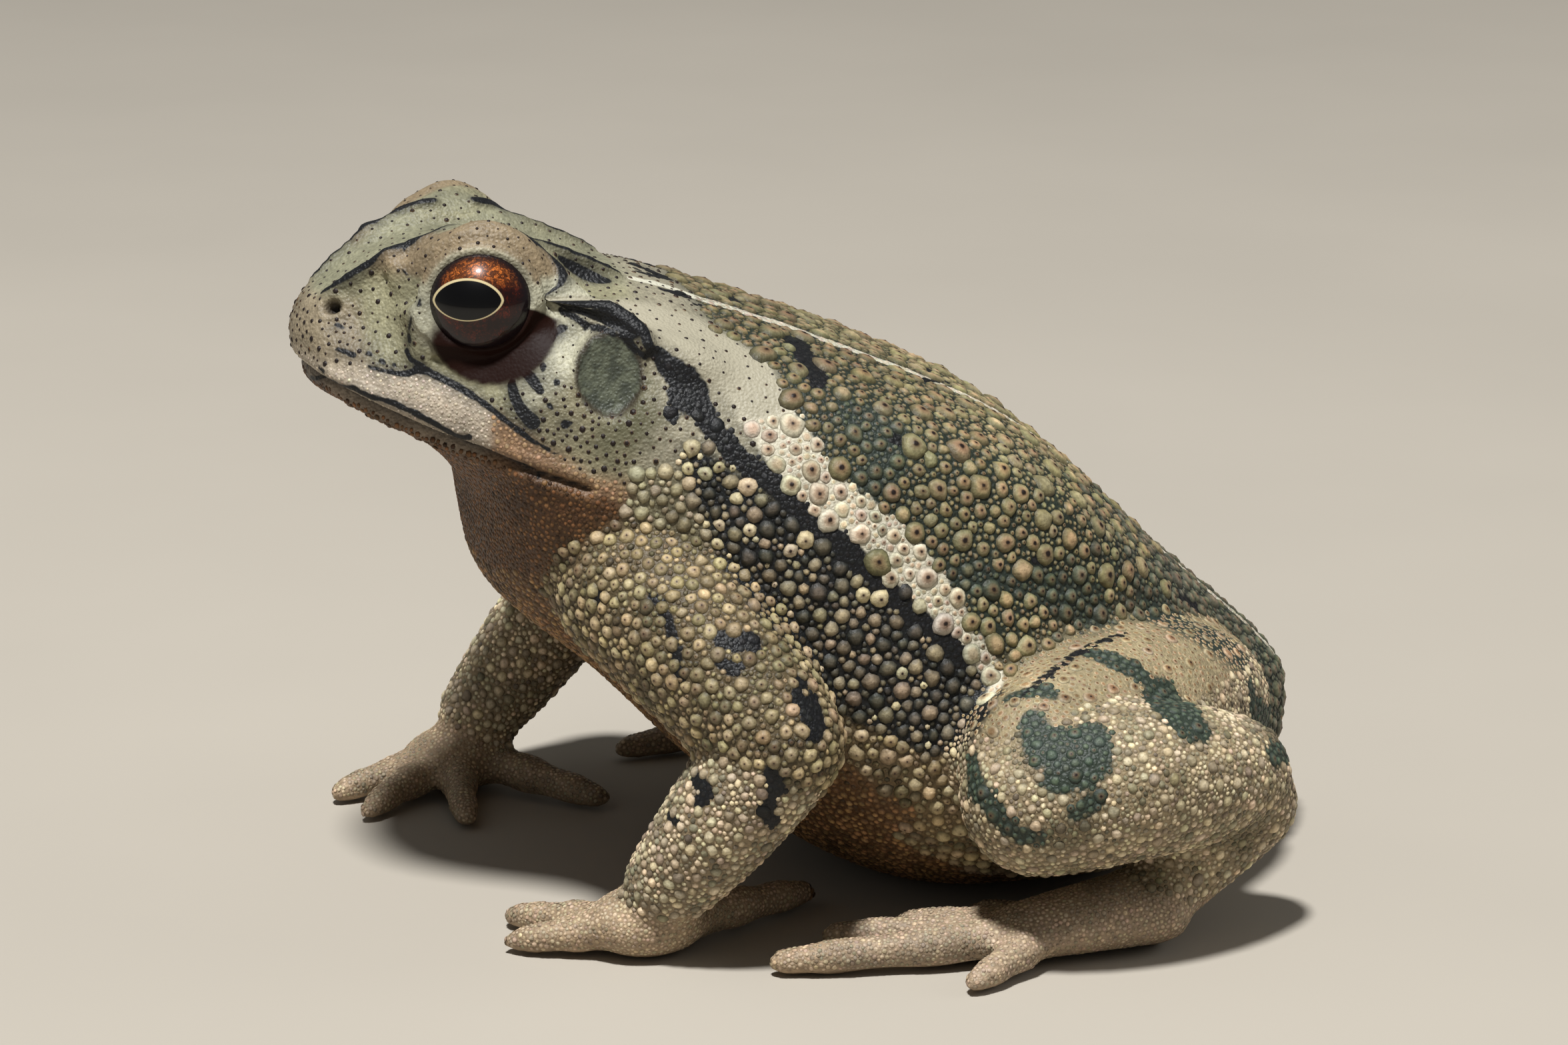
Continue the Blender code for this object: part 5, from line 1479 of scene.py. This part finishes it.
def wart_material():
    """A wart: softly glossy skin with painted shade in the groove round its foot, and a horny brown tip."""
    made, tree, shader = new_material("horny_tipped_warts", Roughness=0.52, Specular_IOR_Level=0.28)
    place = node(tree, "ShaderNodeTexCoord").outputs["Object"]
    rim, pin = mesh_number(tree, "rim"), mesh_number(tree, "pin")
    fine = clouds(tree, place, 2600.0, 3.0)
    top = ranged(tree, rim, 0.78, 0.35, 0.0, 1.0, soft=True)
    colour = two(tree, top, mesh_colour(tree, "tone"), mesh_colour(tree, "crown"))
    colour = times(tree, colour, ranged(tree, fine, 0.3, 0.7, 0.72, 1.2))
    # Painted shade: each wart darkens to under half its tone towards its foot, in the groove between the
    # warts.
    colour = times(tree, colour, ranged(tree, rim, 0.74, 0.98, 1.0, 0.45, soft=True))
    # A brown halo fades out round the dark tip, where there is one.
    near = maths(tree, "SUBTRACT", rim, pin)
    there = ranged(tree, pin, 0.0, 0.08, 0.0, 0.75)
    colour = two(tree, ranged(tree, near, 0.46, 0.0, 0.0, there), colour, hexa("#5A3E2A"))
    tip = ranged(tree, near, 0.1, -0.06, 0.0, 1.0, soft=True)
    tree.links.new(two(tree, tip, colour, hexa("#1F1512")), shader.inputs["Base Color"])
    bump = node(tree, "ShaderNodeBump", {"Height": fine, "Strength": 0.7, "Distance": 0.00016})
    tree.links.new(bump.outputs[0], shader.inputs["Normal"])
    return made


def eye_material():
    """A toad's eye: copper iris netted with dark brown, level black pupil rimmed in pale gold, wet."""
    made, tree, shader = new_material(
        "wet_copper_eye",
        Roughness=0.3,
        Specular_IOR_Level=0.15,
        Coat_Weight=1.0,
        Coat_Roughness=0.02,
        Coat_IOR=1.33,
    )
    place = node(tree, "ShaderNodeTexCoord").outputs["Object"]
    across, rise = mesh_number(tree, "across"), mesh_number(tree, "rise")
    spot = node(tree, "ShaderNodeCombineXYZ", {0: across, 1: rise, 2: 0.0}).outputs[0]
    scale = (1 / PUPIL_HALF[0], 1 / PUPIL_HALF[1], 1)
    shift = (-PUPIL[0] / PUPIL_HALF[0], -PUPIL[1] / PUPIL_HALF[1], 0)
    pupil = node(tree, "ShaderNodeMapping", {"Vector": spot, "Location": shift, "Scale": scale}).outputs[0]
    part = node(tree, "ShaderNodeSeparateXYZ", {0: pupil}).outputs
    # The pupil is an oval with a point at either end.
    wide = maths(tree, "POWER", part[0], 2.0)
    tall = maths(tree, "POWER", maths(tree, "ABSOLUTE", part[1]), 1.6)
    out = maths(tree, "ADD", wide, tall)
    whole = node(tree, "ShaderNodeVectorMath", {0: spot}, operation="LENGTH").outputs[1]
    # Dark threads a tenth of a millimetre wide wander over the copper.
    curl = maths(tree, "COMPARE", clouds(tree, place, 1500.0, 3.0, Distortion=1.2), 0.5, 0.07)
    net = node(tree, "ShaderNodeTexVoronoi", {"Vector": place, "Scale": 3800.0}, feature="DISTANCE_TO_EDGE")
    mottle = clouds(tree, place, 900.0, 5.0, Roughness=0.65)
    iris = two(tree, ranged(tree, mottle, 0.42, 0.62, 0.0, 1.0), hexa("#1E0907"), hexa("#5A1E0E"))
    iris = two(tree, ranged(tree, rise, 0.9, 2.1, 0.0, 0.9), iris, hexa("#C06A2C"))
    iris = two(tree, ranged(tree, net.outputs["Distance"], 0.14, 0.02, 0.0, 0.7), iris, hexa("#1E0C0A"))
    iris = two(tree, maths(tree, "MULTIPLY", curl, 0.75), iris, hexa("#1A0A0A"))
    iris = two(tree, ranged(tree, whole, 2.7, 3.6, 0.0, 1.0, soft=True), iris, hexa("#12090D"))
    # The pupil's pale rim is widest above it.
    past = maths(tree, "SUBTRACT", out, ranged(tree, rise, -1.4, 1.4, 1.04, 1.15))
    iris = two(tree, ranged(tree, past, 0.05, -0.02, 0.0, 1.0, soft=True), iris, hexa("#C8B88E"))
    iris = two(tree, ranged(tree, out, 1.0, 0.95, 0.0, 1.0, soft=True), iris, hexa("#030304"))
    tree.links.new(iris, shader.inputs["Base Color"])
    return made


def eyeball(side, material):
    """One eye as a smooth ball in its place, with its front's own measure for the iris."""
    sign = SIDES[side]
    bm = bmesh.new()
    bmesh.ops.create_uvsphere(bm, u_segments=72, v_segments=48, radius=EYE_RADIUS)
    turn = Vector(flip(GAZE, sign)).to_track_quat("Z", "Y").to_matrix()
    bmesh.ops.rotate(bm, matrix=turn, verts=bm.verts)
    bmesh.ops.translate(bm, vec=flip(EYE, sign), verts=bm.verts)
    points = np.array([vert.co for vert in bm.verts])
    to_frame(bm)
    mesh = bpy.data.meshes.new(side + "_eyeball")
    bm.to_mesh(mesh)
    bm.free()
    across, rise, out, _ = eye_place(points, sign)
    behind = np.where(out > 0, 1.0, 20.0)
    set_numbers(mesh, "across", across * behind)
    set_numbers(mesh, "rise", rise * behind)
    mesh.shade_smooth()
    mesh.materials.append(material)
    made = placed(side + "_eyeball", mesh)
    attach(made, "root")
    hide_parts(side + "_eye")


def toad_skin():
    """The one skin over the whole body, with its markings. Returns it with what is known of it."""
    body, rings = toad_forms()
    skin = fused(body, VOXEL)
    relax(skin, 6)
    # The head gets finer faces, and the eyelids finer ones again.
    points = corners(skin)
    refine(skin, (points[:, 1] < -17.5) & (points[:, 2] > 33))
    points = corners(skin)
    relax(skin, 2, smooth(-points[:, 1], 16, 18) * smooth(points[:, 2], 31, 34))
    points = corners(skin)
    away = np.minimum(*(eye_place(points, sign)[3] for sign in SIDES.values()))
    refine(skin, away < 7.0)
    points, outward = corners(skin), normals(skin)
    tree = BVHTree.FromPolygons([Vector(p) for p in points], [tuple(f.vertices) for f in skin.polygons])
    fields = skin_fields(points, rings, tree)
    points = shape_head(points, outward, fields, tree)
    points = shape_eardrums(points, fields)
    points = shape_eyelids(points, fields)
    points -= outward * SKIN_DEPTH * (1 - fields["socket"])[:, None]
    points[:, 2] = np.maximum(points[:, 2], 0.02)
    move_to(skin, points)
    outward = normals(skin)
    # The skin's tone leaves the markings out, because its material paints them.
    unpainted = {name: np.full(len(points), 9.0) for name in PAINTED}
    zone = zone_of(points, outward, {**fields, **unpainted, "stray": 0.0})
    set_colours(skin, "tone", spread(skin, tints(0, zone), 7))
    # Where the skin is painted near black as shade: the groove of the mouth, the nostril pits and the eye
    # sockets.
    gape_shade = np.exp(-((fields["mouth"] / 0.2) ** 2)) * head_share(points)
    gape_shade = np.maximum(gape_shade, np.exp(-((fields["nostril"] / 0.62) ** 4)))
    fields["gape_shade"] = np.maximum(gape_shade, fields["socket"])
    fields["ear_rim"] = fields["ear"] - 0.45
    fields["ear_patch"] = np.maximum(fields["ear"] + 0.3, -0.05)
    fields["below_ear"] = np.where(points[:, 1] < -17.0, reach(on_left(points), BELOW_EAR), 4.0)
    fields["bars_edge"] = np.where(fields["limb"] > 0, np.abs(fields["bars"] + 0.1) - 0.16, 4.0)
    for name in (*SKIN_MARKS, "gape_shade"):
        set_numbers(skin, name, fields[name])
    return skin, fields, outward


def add_skin(skin, material):
    """The skin as a piece in the frame, in place of all the solids but the eyes."""
    bm = bmesh.new()
    bm.from_mesh(skin)
    to_frame(bm)
    bmesh.ops.triangulate(bm, faces=bm.faces)
    bm.to_mesh(skin)
    bm.free()
    skin.name = "toad_skin"
    skin.shade_smooth()
    skin.materials.clear()
    skin.materials.append(material)
    made = placed("toad_skin", skin)
    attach(made, "root")
    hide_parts(*(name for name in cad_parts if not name.endswith("_eye")))


def add_warts(warts, material):
    """All the warts, each size in as few joined pieces as the limit on triangles allows."""
    for size, (sides, rings, _) in MAKE.items():
        template = dome(sides, rings)
        count = len(warts[size]["half"])
        pieces = max(1, math.ceil(count / (MOST_TRIANGLES // len(template[1]))))
        for index, chosen in enumerate(np.array_split(np.arange(count), pieces), 1):
            wart_piece(f"{size}_warts_{index}", warts[size], chosen, template, material)


def main():
    """Builds the toad's skin, warts and eyes, the floor, the camera and the light."""
    skin_paint, wart_paint, eye_paint = skin_material(), wart_material(), eye_material()
    skin, fields, outward = toad_skin()
    add_warts(grow_warts(skin, fields, outward), wart_paint)
    add_skin(skin, skin_paint)
    for side in SIDES:
        eyeball(side, eye_paint)
    studio_floor()
    camera_and_light()


def studio_floor():
    """A plain floor of pale card under the toad."""
    bm = bmesh.new()
    bmesh.ops.create_grid(bm, x_segments=1, y_segments=1, size=2.5)
    mesh = bpy.data.meshes.new("floor")
    bm.to_mesh(mesh)
    bm.free()
    floor = placed("floor", mesh)
    # Card with a faint, cloudy grain.
    made, tree, shader = new_material("pale_card_floor", Roughness=0.9)
    grain = node(tree, "ShaderNodeTexNoise", {"Scale": 60.0, "Detail": 4.0}).outputs["Fac"]
    paper = times(tree, hexa("#ABA498"), ranged(tree, grain, 0.3, 0.7, 0.97, 1.03))
    tree.links.new(paper, shader.inputs["Base Color"])
    mesh.materials.append(made)


def camera_and_light():
    """The camera of the picture, a soft key lamp high over the toad, a fill lamp and a dim sky."""
    azimuth, elevation = math.radians(CAMERA_AZIMUTH), math.radians(CAMERA_ELEVATION)
    level = math.cos(elevation)
    back = Vector((math.sin(azimuth) * level, -math.cos(azimuth) * level, math.sin(elevation)))
    right = Vector((math.cos(azimuth), math.sin(azimuth), 0.0))
    up = back.cross(right)
    target = (Vector(CAMERA_TARGET) + Vector(SHIFT)) * MM
    lens = bpy.data.cameras.new("camera")
    lens.lens, lens.sensor_width = CAMERA_LENS, 36.0
    lens.clip_start, lens.clip_end = 0.01, 20.0
    camera = placed("camera", lens)
    camera.matrix_world = Matrix.Translation(target + back * CAMERA_DISTANCE * MM) @ Matrix(
        (right, up, back)
    ).transposed().to_4x4()
    bpy.context.scene.camera = camera
    world = bpy.data.worlds.new("studio")
    world.use_nodes = True
    sky = world.node_tree.nodes["Background"]
    sky.inputs["Color"].default_value = (*hexa("#D6D6D4"), 1)
    sky.inputs["Strength"].default_value = WORLD_STRENGTH
    bpy.context.scene.world = world
    for name, place, size, power in LAMPS:
        light = bpy.data.lights.new(name, "AREA")
        light.shape = "DISK"
        light.size, light.energy = size, power
        lamp = placed(name, light)
        spot = target + (right * place[0] + up * place[1] + back * place[2])
        # Only the key lamp is mirrored in the wet eye.
        lamp.visible_glossy = name == "key"
        turn = (spot - target).to_track_quat("Z", "Y").to_matrix().to_4x4()
        lamp.matrix_world = Matrix.Translation(spot) @ turn
    bpy.context.scene.view_settings.view_transform = "Standard"


# The frame's origin lies under the middle of the toad, so everything shifts to where its eyes are.
eyes = [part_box(side + "_eye") for side in SIDES]
middle = sum((low + high for low, high in eyes), Vector()) / 4
SHIFT = np.array([middle.x / MM, middle.y / MM - EYE[1], 0.0])

main()
